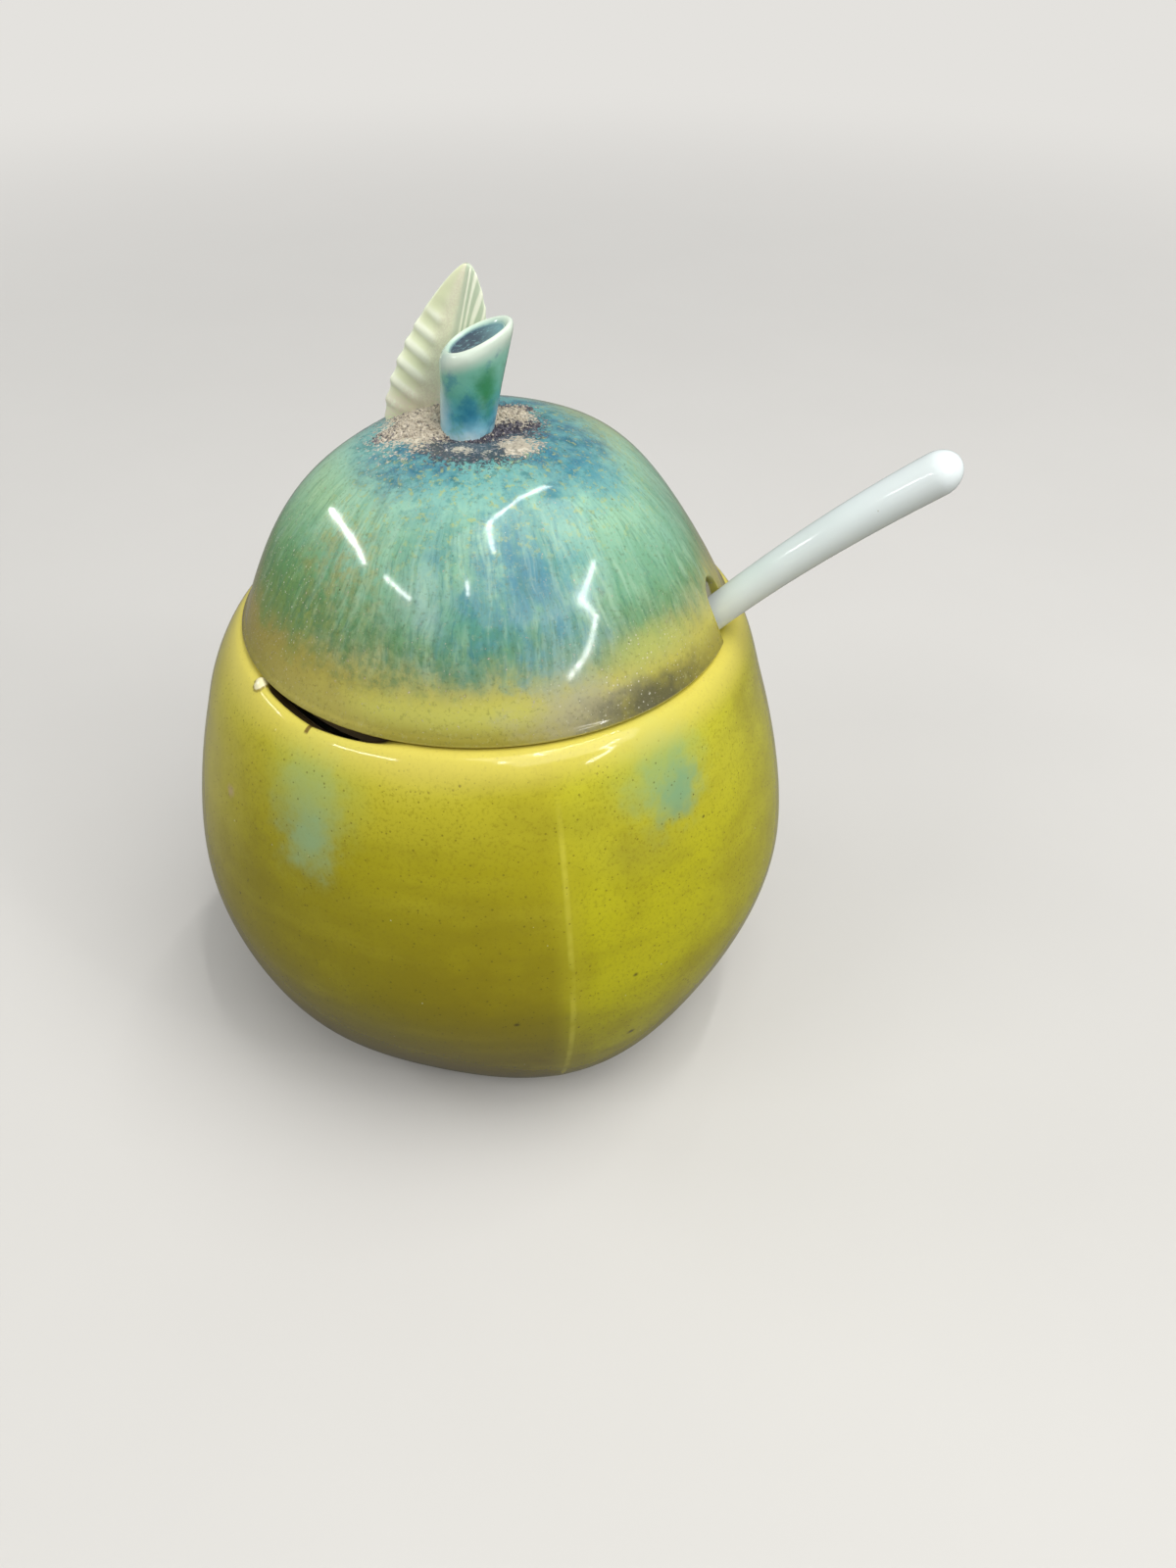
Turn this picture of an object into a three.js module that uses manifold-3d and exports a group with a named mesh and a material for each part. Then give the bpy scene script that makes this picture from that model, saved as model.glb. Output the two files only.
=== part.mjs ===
// Pear-shaped ceramic jam pot: a round bowl, a lid with a stem and a leaf on top,
// and a spoon that leans out through a notch in the lid's edge.
// Millimetres, +Z up. The origin is the middle of the flat foot, and +X points along the spoon.

import * as THREE from 'three';
import { mergeVertices } from 'three/addons/utils/BufferGeometryUtils.js';
import Module from 'manifold-3d';

const wasm = await Module();
wasm.setup();

const DEGREE = Math.PI / 180;

// Bowl
const BOWL_RADIUS = 51;
const BELLY_HEIGHT = 38;
const FOOT_RADIUS = 29;
const RIM_RADIUS = 38.1;
const RIM_HEIGHT = 78.4;
const BOWL_WALL = 4.8;
const RIM_TURN = 50 * DEGREE;
const FOOT_FULLNESS = 0.51;
const BELLY_FULLNESS = 0.35;
const SHOULDER_FULLNESS = 0.31;
const RIM_FULLNESS = 0.12;
const BOWL_LOBE = 1.0;
const BOWL_LOBE_TURN = 17.5 * DEGREE;
const BOWL_LOBE_RISE = 1;
const BOWL_LOBE_FALL = 6;

// Lid
const LID_OVERHANG = 0.4;
const LID_RISE = 28.7;
const LID_WALL = 3.8;
const PLATEAU_RADIUS = 12;
const PLATEAU_DISH = 0.4;
const LID_SIDE_LEAN = 0.3;
const LID_SIDE_FULLNESS = 0.645;
const LID_TOP_FULLNESS = 0.384;
const LID_TOP_FALL = 0.085;
const CROWN_FULLNESS = 0.35;
const CROWN_FLAT = 0.45;
const LID_EDGE_ROUND = 0.7;
const FLANGE_DEPTH = 5;
const FLANGE_WALL = 3;
const FLANGE_CLEARANCE = 0.8;
const LID_LOBE = 0.8;
const LID_LOBE_TURN = 197.5 * DEGREE;
const LID_LOBE_RISE = 2;
const LID_LOBE_FALL = 1;
const LOBES = 5;

// Spoon
const SPOON_BEND_RADIUS = 230;
const SCOOP_TIP_REACH = 11;
const HANDLE_REACH = 44.8;
const HANDLE_WIDTH = 6;
const HANDLE_THICKNESS = 5;
const HANDLE_END_SWELL = 1.2;
const SCOOP_LENGTH = 36;
const SCOOP_WIDTH = 25;
const SCOOP_DEPTH = 5.5;
const SCOOP_WALL = 2.8;
const SCOOP_TIP_ROUND = 3;
const SCOOP_NECK = 16;
const NOTCH_CLEARANCE = 1.0;

// Stem and leaf, in the direction that both face
const ORNAMENT_TURN = 17.5 * DEGREE;
const ORNAMENT_ROOT = 3;
const STEM_FOOT_RADIUS = 3.75;
const STEM_TOP_RADIUS = 5.4;
const STEM_HEIGHT = 13.9;
const STEM_FLARE = 1.7;
const STEM_SHIFT = -2;
const STEM_LEAN = 9 * DEGREE;
const STEM_CUT = 23 * DEGREE;
const STEM_CUT_START = 0.3;
const STEM_LIP = 0.8;
const STEM_LIP_WIDTH = 2;
const STEM_DISH = 0.7;
const LEAF_HEIGHT = 20.6;
const LEAF_LEFT_WIDTH = 6.8;
const LEAF_RIGHT_WIDTH = 6;
const LEAF_THICKNESS = 2.6;
const LEAF_EDGE_THICKNESS = 1.4;
const LEAF_FOLD = 0.32;
const LEAF_LEAN = 17 * DEGREE;
const LEAF_SHIFT = -7;
const LEAF_WIDEST = 0.28;
const LEAF_FULLNESS = 0.85;
const LEAF_TIP = 0.06;

// Fits
const SEAT_GAP = 0.3;

// Fineness of the facets
const TURN_STEPS = 48;
const CURVE_STEPS = 8;
const RIM_STEPS = 6;
const EDGE_STEPS = 2;
const ARCH_STEPS = 8;
const RING_STEPS = 16;
const SCOOP_STEPS = 14;
const HANDLE_STEPS = 12;
const CAP_STEPS = 4;
const CAP_START = 0.1;
const STEM_STEPS = 6;
const LEAF_STEPS = 14;
const SAME_PLACE = 1e-5;

// Places worked out from the sizes above
const rimRound = BOWL_WALL / 2;
const rimCentre = new THREE.Vector2(RIM_RADIUS, RIM_HEIGHT - rimRound);
const mouthRadius = RIM_RADIUS - rimRound;
const seatHeight = RIM_HEIGHT + SEAT_GAP;
const lidRadius = RIM_RADIUS + LID_OVERHANG;
const plateauHeight = seatHeight + LID_RISE;
const topHeight = plateauHeight - PLATEAU_DISH;
const flangeRadius = mouthRadius - FLANGE_CLEARANCE;
const flangeBore = flangeRadius - FLANGE_WALL;
const leafBack = STEM_TOP_RADIUS + SEAT_GAP + LEAF_FOLD * LEAF_RIGHT_WIDTH + LEAF_THICKNESS / 2;

function smooth(from, to, value) {
  return THREE.MathUtils.smoothstep(value, from, to);
}

// A hump from 0 to 1 and back, over a share that runs from 0 to 1
function hump(share, rise, fall) {
  const peak = rise / (rise + fall);
  const held = THREE.MathUtils.clamp(share, 0, 1);
  return (held / peak) ** rise * ((1 - held) / (1 - peak)) ** fall;
}

// Shrinks a section towards its end as a quarter circle does
function roundOff(distance, radius) {
  const inside = Math.min(distance / radius, 1) - 1;
  return Math.sqrt(Math.max(1 - inside * inside, 0));
}

// Points of a curve moved square to it: to its left for a positive distance
function offsetPoints(curve, steps, distance) {
  return Array.from({ length: steps + 1 }, (_, step) => {
    const along = curve.getTangent(step / steps);
    const square = new THREE.Vector2(-along.y, along.x);
    return curve.getPoint(step / steps).addScaledVector(square, distance);
  });
}

function arcPoints(centre, radius, from, to, steps) {
  return Array.from({ length: steps + 1 }, (_, step) => {
    const angle = THREE.MathUtils.lerp(from, to, step / steps);
    return new THREE.Vector2(Math.cos(angle), Math.sin(angle)).multiplyScalar(radius).add(centre);
  });
}

function dropRepeats(points) {
  return points.filter((point, i) => i === 0 || point.distanceTo(points[i - 1]) > SAME_PLACE);
}

// Turns a profile of radius and height about the pot's axis
function turn(profile) {
  const geometry = new THREE.LatheGeometry(dropRepeats(profile), TURN_STEPS);
  geometry.rotateX(Math.PI / 2);
  return geometry;
}

// Swells a turned shape into soft lobes, by an amount that depends on the height
function swell(geometry, amountAtHeight, crest) {
  const place = geometry.attributes.position;
  for (let i = 0; i < place.count; i += 1) {
    const x = place.getX(i);
    const y = place.getY(i);
    const radius = Math.hypot(x, y);
    if (radius > 0) {
      const wave = Math.cos(LOBES * (Math.atan2(y, x) - crest));
      const grown = 1 + (amountAtHeight(place.getZ(i)) * wave) / radius;
      place.setXY(i, x * grown, y * grown);
    }
  }
  return geometry;
}

// Joins rings of points into one closed skin, with a fan over each end
function loft(rings) {
  const count = rings[0].length;
  const middles = [rings[0], rings[rings.length - 1]].map((ring) =>
    ring.reduce((sum, point) => sum.add(point), new THREE.Vector3()).divideScalar(count));
  const points = [...rings.flat(), ...middles];
  const first = rings.length * count;
  const faces = [];
  for (let row = 0; row < rings.length - 1; row += 1) {
    for (let i = 0; i < count; i += 1) {
      const a = row * count + i;
      const b = row * count + ((i + 1) % count);
      faces.push(a, b, b + count, a, b + count, a + count);
    }
  }
  for (let i = 0; i < count; i += 1) {
    const next = (i + 1) % count;
    const last = (rings.length - 1) * count;
    faces.push(first, next, i);
    faces.push(first + 1, last + i, last + next);
  }
  const geometry = new THREE.BufferGeometry().setFromPoints(points);
  geometry.setIndex(faces);
  return geometry;
}

function ringAngles(steps) {
  return Array.from({ length: steps }, (_, i) => (i * 2 * Math.PI) / steps);
}

function solidOf(geometry) {
  const bare = geometry.clone();
  bare.deleteAttribute('normal');
  bare.deleteAttribute('uv');
  const merged = mergeVertices(bare, SAME_PLACE);
  return new wasm.Manifold(new wasm.Mesh({
    numProp: 3,
    vertProperties: Float32Array.from(merged.attributes.position.array),
    triVerts: Uint32Array.from(merged.index.array),
  }));
}

function geometryOf(solid) {
  const mesh = solid.getMesh();
  const geometry = new THREE.BufferGeometry();
  geometry.setAttribute('position', new THREE.BufferAttribute(mesh.vertProperties, 3));
  geometry.setIndex(new THREE.BufferAttribute(mesh.triVerts, 1));
  return geometry;
}

function piece(name, geometry, colour, roughness) {
  geometry.computeVertexNormals();
  const material = new THREE.MeshStandardMaterial({ color: colour, roughness, metalness: 0 });
  const mesh = new THREE.Mesh(geometry, material);
  mesh.name = name;
  return mesh;
}

// Bowl: one even wall from the flat foot to a half-round rim

function bowlCurves() {
  const foot = new THREE.Vector2(FOOT_RADIUS, 0);
  const belly = new THREE.Vector2(BOWL_RADIUS, BELLY_HEIGHT);
  const rim = arcPoints(rimCentre, rimRound, RIM_TURN, RIM_TURN, 1)[0];
  const rise = RIM_HEIGHT - BELLY_HEIGHT;
  const lower = new THREE.CubicBezierCurve(
    foot,
    new THREE.Vector2(FOOT_RADIUS + FOOT_FULLNESS * (BOWL_RADIUS - FOOT_RADIUS), 0),
    new THREE.Vector2(BOWL_RADIUS, BELLY_HEIGHT * (1 - BELLY_FULLNESS)),
    belly,
  );
  const upper = new THREE.CubicBezierCurve(
    belly,
    new THREE.Vector2(BOWL_RADIUS, BELLY_HEIGHT + SHOULDER_FULLNESS * rise),
    new THREE.Vector2(Math.sin(RIM_TURN), -Math.cos(RIM_TURN)).multiplyScalar(RIM_FULLNESS * rise).add(rim),
    rim,
  );
  return [lower, upper];
}

function bowlLobe(height) {
  return BOWL_LOBE * hump(height / RIM_HEIGHT, BOWL_LOBE_RISE, BOWL_LOBE_FALL);
}

function bowlGeometry() {
  const [lower, upper] = bowlCurves();
  const outside = [...lower.getPoints(CURVE_STEPS), ...upper.getPoints(CURVE_STEPS)];
  const inside = [
    ...offsetPoints(lower, CURVE_STEPS, BOWL_WALL),
    ...offsetPoints(upper, CURVE_STEPS, BOWL_WALL),
  ].reverse();
  const rim = arcPoints(rimCentre, rimRound, RIM_TURN, RIM_TURN + Math.PI, RIM_STEPS).slice(1, -1);
  const underside = new THREE.Vector2(0, 0);
  const floor = new THREE.Vector2(0, BOWL_WALL);
  return swell(turn([underside, ...outside, ...rim, ...inside, floor]), bowlLobe, BOWL_LOBE_TURN);
}

// Lid: a shell that sits on the rim's crest, with a flange that drops into the mouth

function lidCurves() {
  const run = lidRadius - PLATEAU_RADIUS;
  const plateau = new THREE.Vector2(PLATEAU_RADIUS, plateauHeight);
  const inward = new THREE.Vector2(-LID_TOP_FULLNESS * run, LID_TOP_FALL * LID_RISE);
  const side = new THREE.CubicBezierCurve(
    new THREE.Vector2(lidRadius, seatHeight),
    new THREE.Vector2(lidRadius - LID_SIDE_LEAN * run, seatHeight + LID_SIDE_FULLNESS * LID_RISE),
    plateau.clone().sub(inward),
    plateau,
  );
  const crown = new THREE.CubicBezierCurve(
    plateau,
    plateau.clone().addScaledVector(inward, CROWN_FULLNESS),
    new THREE.Vector2(CROWN_FLAT * PLATEAU_RADIUS, topHeight),
    new THREE.Vector2(0, topHeight),
  );
  return [side, crown];
}

function lidLobe(height) {
  return LID_LOBE * hump((height - seatHeight) / LID_RISE, LID_LOBE_RISE, LID_LOBE_FALL);
}

// The spoon's middle line is an arc. Its tip stands on the bowl's floor, and it clears the rim
// by the seat's gap, so the bend's centre is a known distance from the tip and from the rim.

const spoonTip = new THREE.Vector2(-SCOOP_TIP_REACH, BOWL_WALL + SEAT_GAP);
const spoonOverRim = rimRound + SEAT_GAP + HANDLE_THICKNESS / 2;
const spoonBend = meetingPoint(spoonTip, SPOON_BEND_RADIUS, rimCentre, SPOON_BEND_RADIUS - spoonOverRim);
const tipSlope = slopeOf(spoonTip);
const spoonInside = SPOON_BEND_RADIUS * (tipSlope - slopeOf(rimCentre));
const spoonLength = spoonInside + HANDLE_REACH;

// The point at a distance from each of two others, on the right of the line between them
function meetingPoint(one, reachOne, two, reachTwo) {
  const line = two.clone().sub(one);
  const apart = line.length();
  line.normalize();
  const along = (apart * apart + reachOne * reachOne - reachTwo * reachTwo) / (2 * apart);
  const aside = Math.sqrt(reachOne * reachOne - along * along);
  const right = new THREE.Vector2(line.y, -line.x);
  return one.clone().addScaledVector(line, along).addScaledVector(right, aside);
}

function slopeOf(point) {
  return Math.atan2(spoonBend.x - point.x, point.y - spoonBend.y);
}

function spoonAt(distance) {
  const slope = tipSlope - distance / SPOON_BEND_RADIUS;
  const up = new THREE.Vector3(-Math.sin(slope), 0, Math.cos(slope));
  const middle = new THREE.Vector3(spoonBend.x, 0, spoonBend.y).addScaledVector(up, SPOON_BEND_RADIUS);
  return { middle, up };
}

// Half width, half thickness and hollow of the spoon at a distance from its tip
function spoonSection(distance) {
  const share = distance / SCOOP_LENGTH;
  const grown = 1 + (HANDLE_END_SWELL - 1) * smooth(spoonInside, spoonLength, distance);
  const handle = (HANDLE_WIDTH / 2) * grown;
  const thick = (HANDLE_THICKNESS / 2) * grown;
  if (share >= 1) {
    const end = roundOff(spoonLength - distance, handle);
    return { half: handle * end, thick: thick * end, hollow: 0 };
  }
  const widest = SCOOP_WIDTH / 2;
  const front = Math.sqrt(1 - (1 - 2 * share) ** 2);
  const back = 0.5 - 0.5 * Math.cos(2 * Math.PI * share);
  const neck = smooth(SCOOP_LENGTH - SCOOP_NECK, SCOOP_LENGTH, distance);
  return {
    half: share < 0.5 ? widest * front : handle + (widest - handle) * back,
    thick: THREE.MathUtils.lerp(SCOOP_WALL / 2, thick, neck) * roundOff(distance, SCOOP_TIP_ROUND),
    hollow: SCOOP_DEPTH * Math.sin(Math.PI * share),
  };
}

// Distances from the tip, closest together where an end rounds off
function spoonStations() {
  const even = (from, to, steps) =>
    Array.from({ length: steps }, (_, i) => THREE.MathUtils.lerp(from, to, i / steps));
  const rounding = (steps) =>
    even(CAP_START, 1, steps).map((share) => 1 - Math.cos(share * (Math.PI / 2)));
  const cap = (HANDLE_WIDTH / 2) * HANDLE_END_SWELL;
  return [
    ...rounding(CAP_STEPS).map((share) => share * SCOOP_TIP_ROUND),
    ...even(SCOOP_TIP_ROUND, SCOOP_LENGTH, SCOOP_STEPS),
    ...even(SCOOP_LENGTH, spoonLength - cap, HANDLE_STEPS),
    ...rounding(CAP_STEPS).map((share) => spoonLength - share * cap).reverse(),
  ];
}

function spoonGeometry() {
  const rings = spoonStations().map((distance) => {
    const { middle, up } = spoonAt(distance);
    const { half, thick, hollow } = spoonSection(distance);
    return ringAngles(RING_STEPS).map((angle) => {
      const rise = thick * Math.sin(angle) - hollow * Math.sin(angle) ** 2;
      return new THREE.Vector3(0, half * Math.cos(angle), 0).add(middle).addScaledVector(up, rise);
    });
  });
  return loft(rings);
}

// The notch is an arch, open below, that the handle leaves through

function notchGeometry() {
  const half = HANDLE_WIDTH / 2 + NOTCH_CLEARANCE;
  const wallMiddle = lidRadius - LID_WALL / 2;
  const slope = Math.asin((spoonBend.x - wallMiddle) / SPOON_BEND_RADIUS);
  const handleHeight = spoonBend.y + SPOON_BEND_RADIUS * Math.cos(slope);
  const crown = handleHeight + HANDLE_THICKNESS / 2 / Math.cos(slope) + NOTCH_CLEARANCE;
  const below = seatHeight - 2 * FLANGE_DEPTH;
  const arch = new THREE.Shape();
  arch.moveTo(-half, below);
  arch.lineTo(half, below);
  arch.lineTo(half, crown - half);
  arch.absarc(0, crown - half, half, 0, Math.PI);
  arch.closePath();
  const settings = { depth: lidRadius, bevelEnabled: false, curveSegments: ARCH_STEPS };
  const geometry = new THREE.ExtrudeGeometry(arch, settings);
  geometry.rotateX(Math.PI / 2);
  geometry.rotateZ(Math.PI / 2);
  geometry.translate(flangeBore / 2, 0, 0);
  return geometry;
}

function lidGeometry() {
  const [side, crown] = lidCurves();
  const edgeCentre = new THREE.Vector2(lidRadius - LID_EDGE_ROUND, seatHeight + LID_EDGE_ROUND);
  const edge = arcPoints(edgeCentre, LID_EDGE_ROUND, -Math.PI / 2, 0, EDGE_STEPS);
  const outside = [...side.getPoints(CURVE_STEPS), ...crown.getPoints(RIM_STEPS)]
    .filter((point) => point.y > edgeCentre.y);
  const inside = [
    ...offsetPoints(side, CURVE_STEPS, LID_WALL),
    ...offsetPoints(crown, RIM_STEPS, LID_WALL),
  ].filter((point) => point.x < flangeBore && point.y > seatHeight).reverse();
  const top = new THREE.Vector2(0, topHeight);
  const ceiling = new THREE.Vector2(0, topHeight - LID_WALL);
  const flange = [
    new THREE.Vector2(flangeBore, seatHeight - FLANGE_DEPTH),
    new THREE.Vector2(flangeRadius, seatHeight - FLANGE_DEPTH),
    new THREE.Vector2(flangeRadius, seatHeight),
  ];
  const knee = new THREE.Vector2(flangeBore, inside[inside.length - 1].y);
  const profile = [ceiling, ...inside.slice(1), knee, ...flange, ...edge, ...outside.slice(0, -1), top];
  const shell = swell(turn(profile), lidLobe, LID_LOBE_TURN);
  return geometryOf(solidOf(shell).subtract(solidOf(notchGeometry())));
}

// The lid's outside grown by the seat's gap: what the stem and the leaf are cut to
function lidSeatSolid() {
  const [side, crown] = lidCurves();
  const skin = [
    ...offsetPoints(side, CURVE_STEPS, -SEAT_GAP),
    ...offsetPoints(crown, RIM_STEPS, -SEAT_GAP),
  ].slice(0, -1);
  const below = new THREE.Vector2(0, seatHeight);
  const top = new THREE.Vector2(0, topHeight + SEAT_GAP);
  return solidOf(swell(turn([below, ...skin, top]), lidLobe, LID_LOBE_TURN));
}

function seatOnLid(geometry) {
  geometry.rotateZ(ORNAMENT_TURN);
  return geometryOf(solidOf(geometry).subtract(lidSeatSolid()));
}

// Stem: a leaning stump that flares to a slanted, dished cut

function stemRing(share, shrink, drop) {
  const flared = THREE.MathUtils.lerp(STEM_FOOT_RADIUS, STEM_TOP_RADIUS, share ** STEM_FLARE);
  const radius = flared - shrink;
  const height = THREE.MathUtils.lerp(-ORNAMENT_ROOT, STEM_HEIGHT, share);
  const middle = STEM_SHIFT + Math.tan(STEM_LEAN) * height;
  const slant = Math.tan(STEM_CUT) * smooth(STEM_CUT_START, 1, share);
  return ringAngles(RING_STEPS).map((angle) => {
    const across = radius * Math.cos(angle);
    const z = topHeight + height + across * slant - drop;
    return new THREE.Vector3(middle + across, radius * Math.sin(angle), z);
  });
}

function stemGeometry() {
  const side = Array.from({ length: STEM_STEPS }, (_, i) => stemRing(i / STEM_STEPS, 0, 0));
  const shoulder = stemRing(1, 0, STEM_LIP);
  const lip = stemRing(1, STEM_LIP, 0);
  const dish = stemRing(1, STEM_LIP_WIDTH, STEM_DISH);
  return seatOnLid(loft([...side, shoulder, lip, dish]));
}

// Leaf: a pointed blade folded along its midrib, standing behind the stem

function leafPlan(share) {
  const rootShare = (0.5 - LEAF_WIDEST) / (1 - LEAF_WIDEST);
  const blade = Math.sin(Math.PI * THREE.MathUtils.lerp(rootShare, 1, share));
  return Math.max(blade, 0) ** LEAF_FULLNESS + LEAF_TIP;
}

function leafRing(share) {
  const height = THREE.MathUtils.lerp(-ORNAMENT_ROOT, LEAF_HEIGHT, share);
  const plan = leafPlan(share);
  const middle = new THREE.Vector3(
    LEAF_SHIFT + Math.tan(LEAF_LEAN) * Math.max(height, 0),
    leafBack,
    topHeight + height,
  );
  return ringAngles(RING_STEPS).map((angle) => {
    const side = Math.cos(angle);
    const across = side * plan * (side < 0 ? LEAF_LEFT_WIDTH : LEAF_RIGHT_WIDTH);
    const thick = THREE.MathUtils.lerp(LEAF_THICKNESS, LEAF_EDGE_THICKNESS, Math.abs(side));
    const forward = LEAF_FOLD * Math.abs(across);
    const back = (thick / 2) * Math.sqrt(plan) * Math.sin(angle) - forward;
    return new THREE.Vector3(across, back, 0).add(middle);
  });
}

function leafGeometry() {
  const rings = Array.from({ length: LEAF_STEPS + 1 }, (_, i) => leafRing(i / LEAF_STEPS));
  return seatOnLid(loft(rings));
}

const pot = new THREE.Group();
pot.add(
  piece('bowl', bowlGeometry(), 0xb9b21f, 0.12),
  piece('lid', lidGeometry(), 0x5fae9d, 0.12),
  piece('stem', stemGeometry(), 0x4f9f97, 0.15),
  piece('leaf', leafGeometry(), 0xc9d3a4, 0.2),
  piece('spoon', spoonGeometry(), 0xeef0ec, 0.1),
);

export default pot;
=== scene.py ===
"""Pear-shaped ceramic jam pot: a glazed bowl, a lid with a stem and a leaf, and a white spoon.

Sizes are in millimetres and angles in degrees, and meshes are made in metres in the frame's own axes.
Most pairs of values are where a mark or a colour starts and where it is whole.
"""

import math

import bpy
import numpy as np
from mathutils import Matrix, Vector


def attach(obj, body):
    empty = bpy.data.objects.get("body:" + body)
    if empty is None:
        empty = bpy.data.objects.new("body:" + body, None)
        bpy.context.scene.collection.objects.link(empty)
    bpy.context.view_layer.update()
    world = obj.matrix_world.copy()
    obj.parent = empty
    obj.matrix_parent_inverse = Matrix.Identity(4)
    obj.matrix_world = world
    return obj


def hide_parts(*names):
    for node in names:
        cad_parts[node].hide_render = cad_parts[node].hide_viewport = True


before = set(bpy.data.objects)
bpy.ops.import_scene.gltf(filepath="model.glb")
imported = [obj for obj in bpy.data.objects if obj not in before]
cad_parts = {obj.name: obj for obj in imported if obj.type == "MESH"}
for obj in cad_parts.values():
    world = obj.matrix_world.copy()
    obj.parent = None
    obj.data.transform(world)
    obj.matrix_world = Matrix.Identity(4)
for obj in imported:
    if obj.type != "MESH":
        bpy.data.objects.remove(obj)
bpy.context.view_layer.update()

MM = 0.001
METRE = 1 / MM

# Bowl
BOWL_RADIUS = 51.0
BELLY_HEIGHT = 38.0
FOOT_RADIUS = 29.0
RIM_RADIUS = 38.1
RIM_HEIGHT = 78.4
BOWL_WALL = 4.8
RIM_TURN = 50.0
FOOT_FULLNESS = 0.51
BELLY_FULLNESS = 0.35
SHOULDER_FULLNESS = 0.31
RIM_FULLNESS = 0.12
FOOT_DISH = 0.5
FOOT_RING = 4.0
FOOT_BEVEL = 1.0
BOWL_LOBE = 1.0
BOWL_LOBE_TURN = 17.5
BOWL_LOBE_RISE = 1
BOWL_LOBE_FALL = 6

# What the maker's hand and the mould left on the bowl: a RISE is a height, a DROP is below the rim
BOWL_LEAN = 0.7
BOWL_LEAN_TURN = 197.5
BOWL_LEAN_RISE = (8.0, 45.0)
BOWL_LEAN_DROP = (0.0, 12.0)
SEAM_TURN = -62.0
SEAM_HEIGHT = 0.14
SEAM_WIDTH = 1.0
SEAM_RISE = (3.0, 14.0)
SEAM_DROP = (2.0, 14.0)
SEAM_BUMP = 1.2
SEAM_BUMP_AT = 36.8
SEAM_BUMP_WIDTH = 1.6
SHOULDER_ROLL = 0.25
SHOULDER_ROLL_RADIUS = 43.0
SHOULDER_ROLL_WIDTH = 2.5
SHOULDER_ROLL_DROP = (16.0, 10.0)
SHOULDER_ROLL_SLANT = 0.7
RIM_DIP = 1.05
RIM_DIP_TURN = -114.0
RIM_DIP_LEFT = 19.5
RIM_DIP_RIGHT = 23.0
RIM_DIP_DROP = (9.0, 0.0)
RIM_DIP_SPREAD = 0.2
RIM_CHIP = 1.6
RIM_CHIP_LEFT = 0.3
RIM_CHIP_RIGHT = 0.75
RIM_CHIP_DROP = (6.0, 3.0)
RIM_CHIP_EDGE = (0.8, -0.4)
RIM_NICK_TURN = -114.2
RIM_BEAD = 1.15
RIM_BEAD_TURN = -132.4
RIM_BEAD_OUT = 0.9
RIM_BEAD_DROP = 4.0
RIM_BEAD_HEIGHT = 0.65

# Lid
LID_OVERHANG = 0.4
LID_RISE = 28.7
LID_WALL = 3.8
PLATEAU_RADIUS = 12.0
PLATEAU_DISH = 0.4
LID_SIDE_LEAN = 0.3
LID_SIDE_FULLNESS = 0.645
LID_TOP_FULLNESS = 0.384
LID_TOP_FALL = 0.085
CROWN_FULLNESS = 0.35
CROWN_FLAT = 0.45
LID_EDGE_ROUND = 0.7
LID_KNEE = 0.4
FLANGE_DEPTH = 5.0
FLANGE_WALL = 3.0
FLANGE_CLEARANCE = 0.8
FLANGE_ROUND = 0.9
LID_LOBE = 0.8
LID_LOBE_TURN = 197.5
LID_LOBE_RISE = 2
LID_LOBE_FALL = 1
LOBES = 5
LOBE_FADE = 20.0

# Spoon
SPOON_BEND_RADIUS = 230.0
SCOOP_TIP_REACH = 11.0
HANDLE_REACH = 44.8
HANDLE_WIDTH = 6.0
HANDLE_THICKNESS = 5.0
HANDLE_END_SWELL = 1.2
SCOOP_LENGTH = 36.0
SCOOP_WIDTH = 25.0
SCOOP_DEPTH = 5.5
SCOOP_WALL = 2.8
SCOOP_TIP_ROUND = 3.0
SCOOP_NECK = 16.0
NOTCH_CLEARANCE = 1.0
NOTCH_EDGE = 0.7

# Stem: the lip is shown by shares of the height, and the cut by shares of the way into it
ORNAMENT_TURN = 17.5
ORNAMENT_ROOT = 3.0
STEM_FOOT_RADIUS = 3.75
STEM_TOP_RADIUS = 5.4
STEM_HEIGHT = 13.9
STEM_FLARE = 1.7
STEM_SHIFT = -2.0
STEM_LEAN = 9.0
STEM_CUT = 23.0
STEM_CUT_START = 0.3
STEM_CUT_SHOWN = (0.35, 0.9)
STEM_LIP = 1.0
STEM_LIP_WIDTH = 2.0
STEM_LIP_SHOWN = (0.79, 0.95)
STEM_ROLL = 1.8
STEM_DISH = 0.7
STEM_DISH_SAG = 0.25
STEM_EYE = 0.2
STEM_OVAL = 0.025
STEM_CORNERS = 0.015
STEM_KNOBS = 0.014

# Leaf: pairs are shares of its half width, but RIBS_UP is shares of its height and RIBS_FOOT heights
LEAF_HEIGHT = 20.6
LEAF_LEFT_WIDTH = 6.8
LEAF_RIGHT_WIDTH = 6.0
LEAF_THICKNESS = 2.6
LEAF_EDGE_THICKNESS = 1.4
LEAF_FOLD = 0.32
LEAF_FOLD_AT = -0.18
LEAF_FOLD_WIDTH = 0.26
LEAF_LEAN = 17.0
LEAF_SHIFT = -7.0
LEAF_WIDEST = 0.28
LEAF_FULLNESS = 0.7
LEAF_TIP = 0.06
LEAF_RIB = 0.3
LEAF_RIB_BEHIND = 0.5
LEAF_RIB_SPACING = 3.0
LEAF_RIB_SLOPE = 0.8
LEAF_RIB_SHARPNESS = 1.3
LEAF_RIBS_ACROSS = (0.12, 0.5)
LEAF_RIBS_UP = (0.9, 0.62)
LEAF_RIBS_FOOT = (-1.0, 3.0)
LEAF_STREAK = 0.6
LEAF_STREAK_SPACING = 0.95
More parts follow.
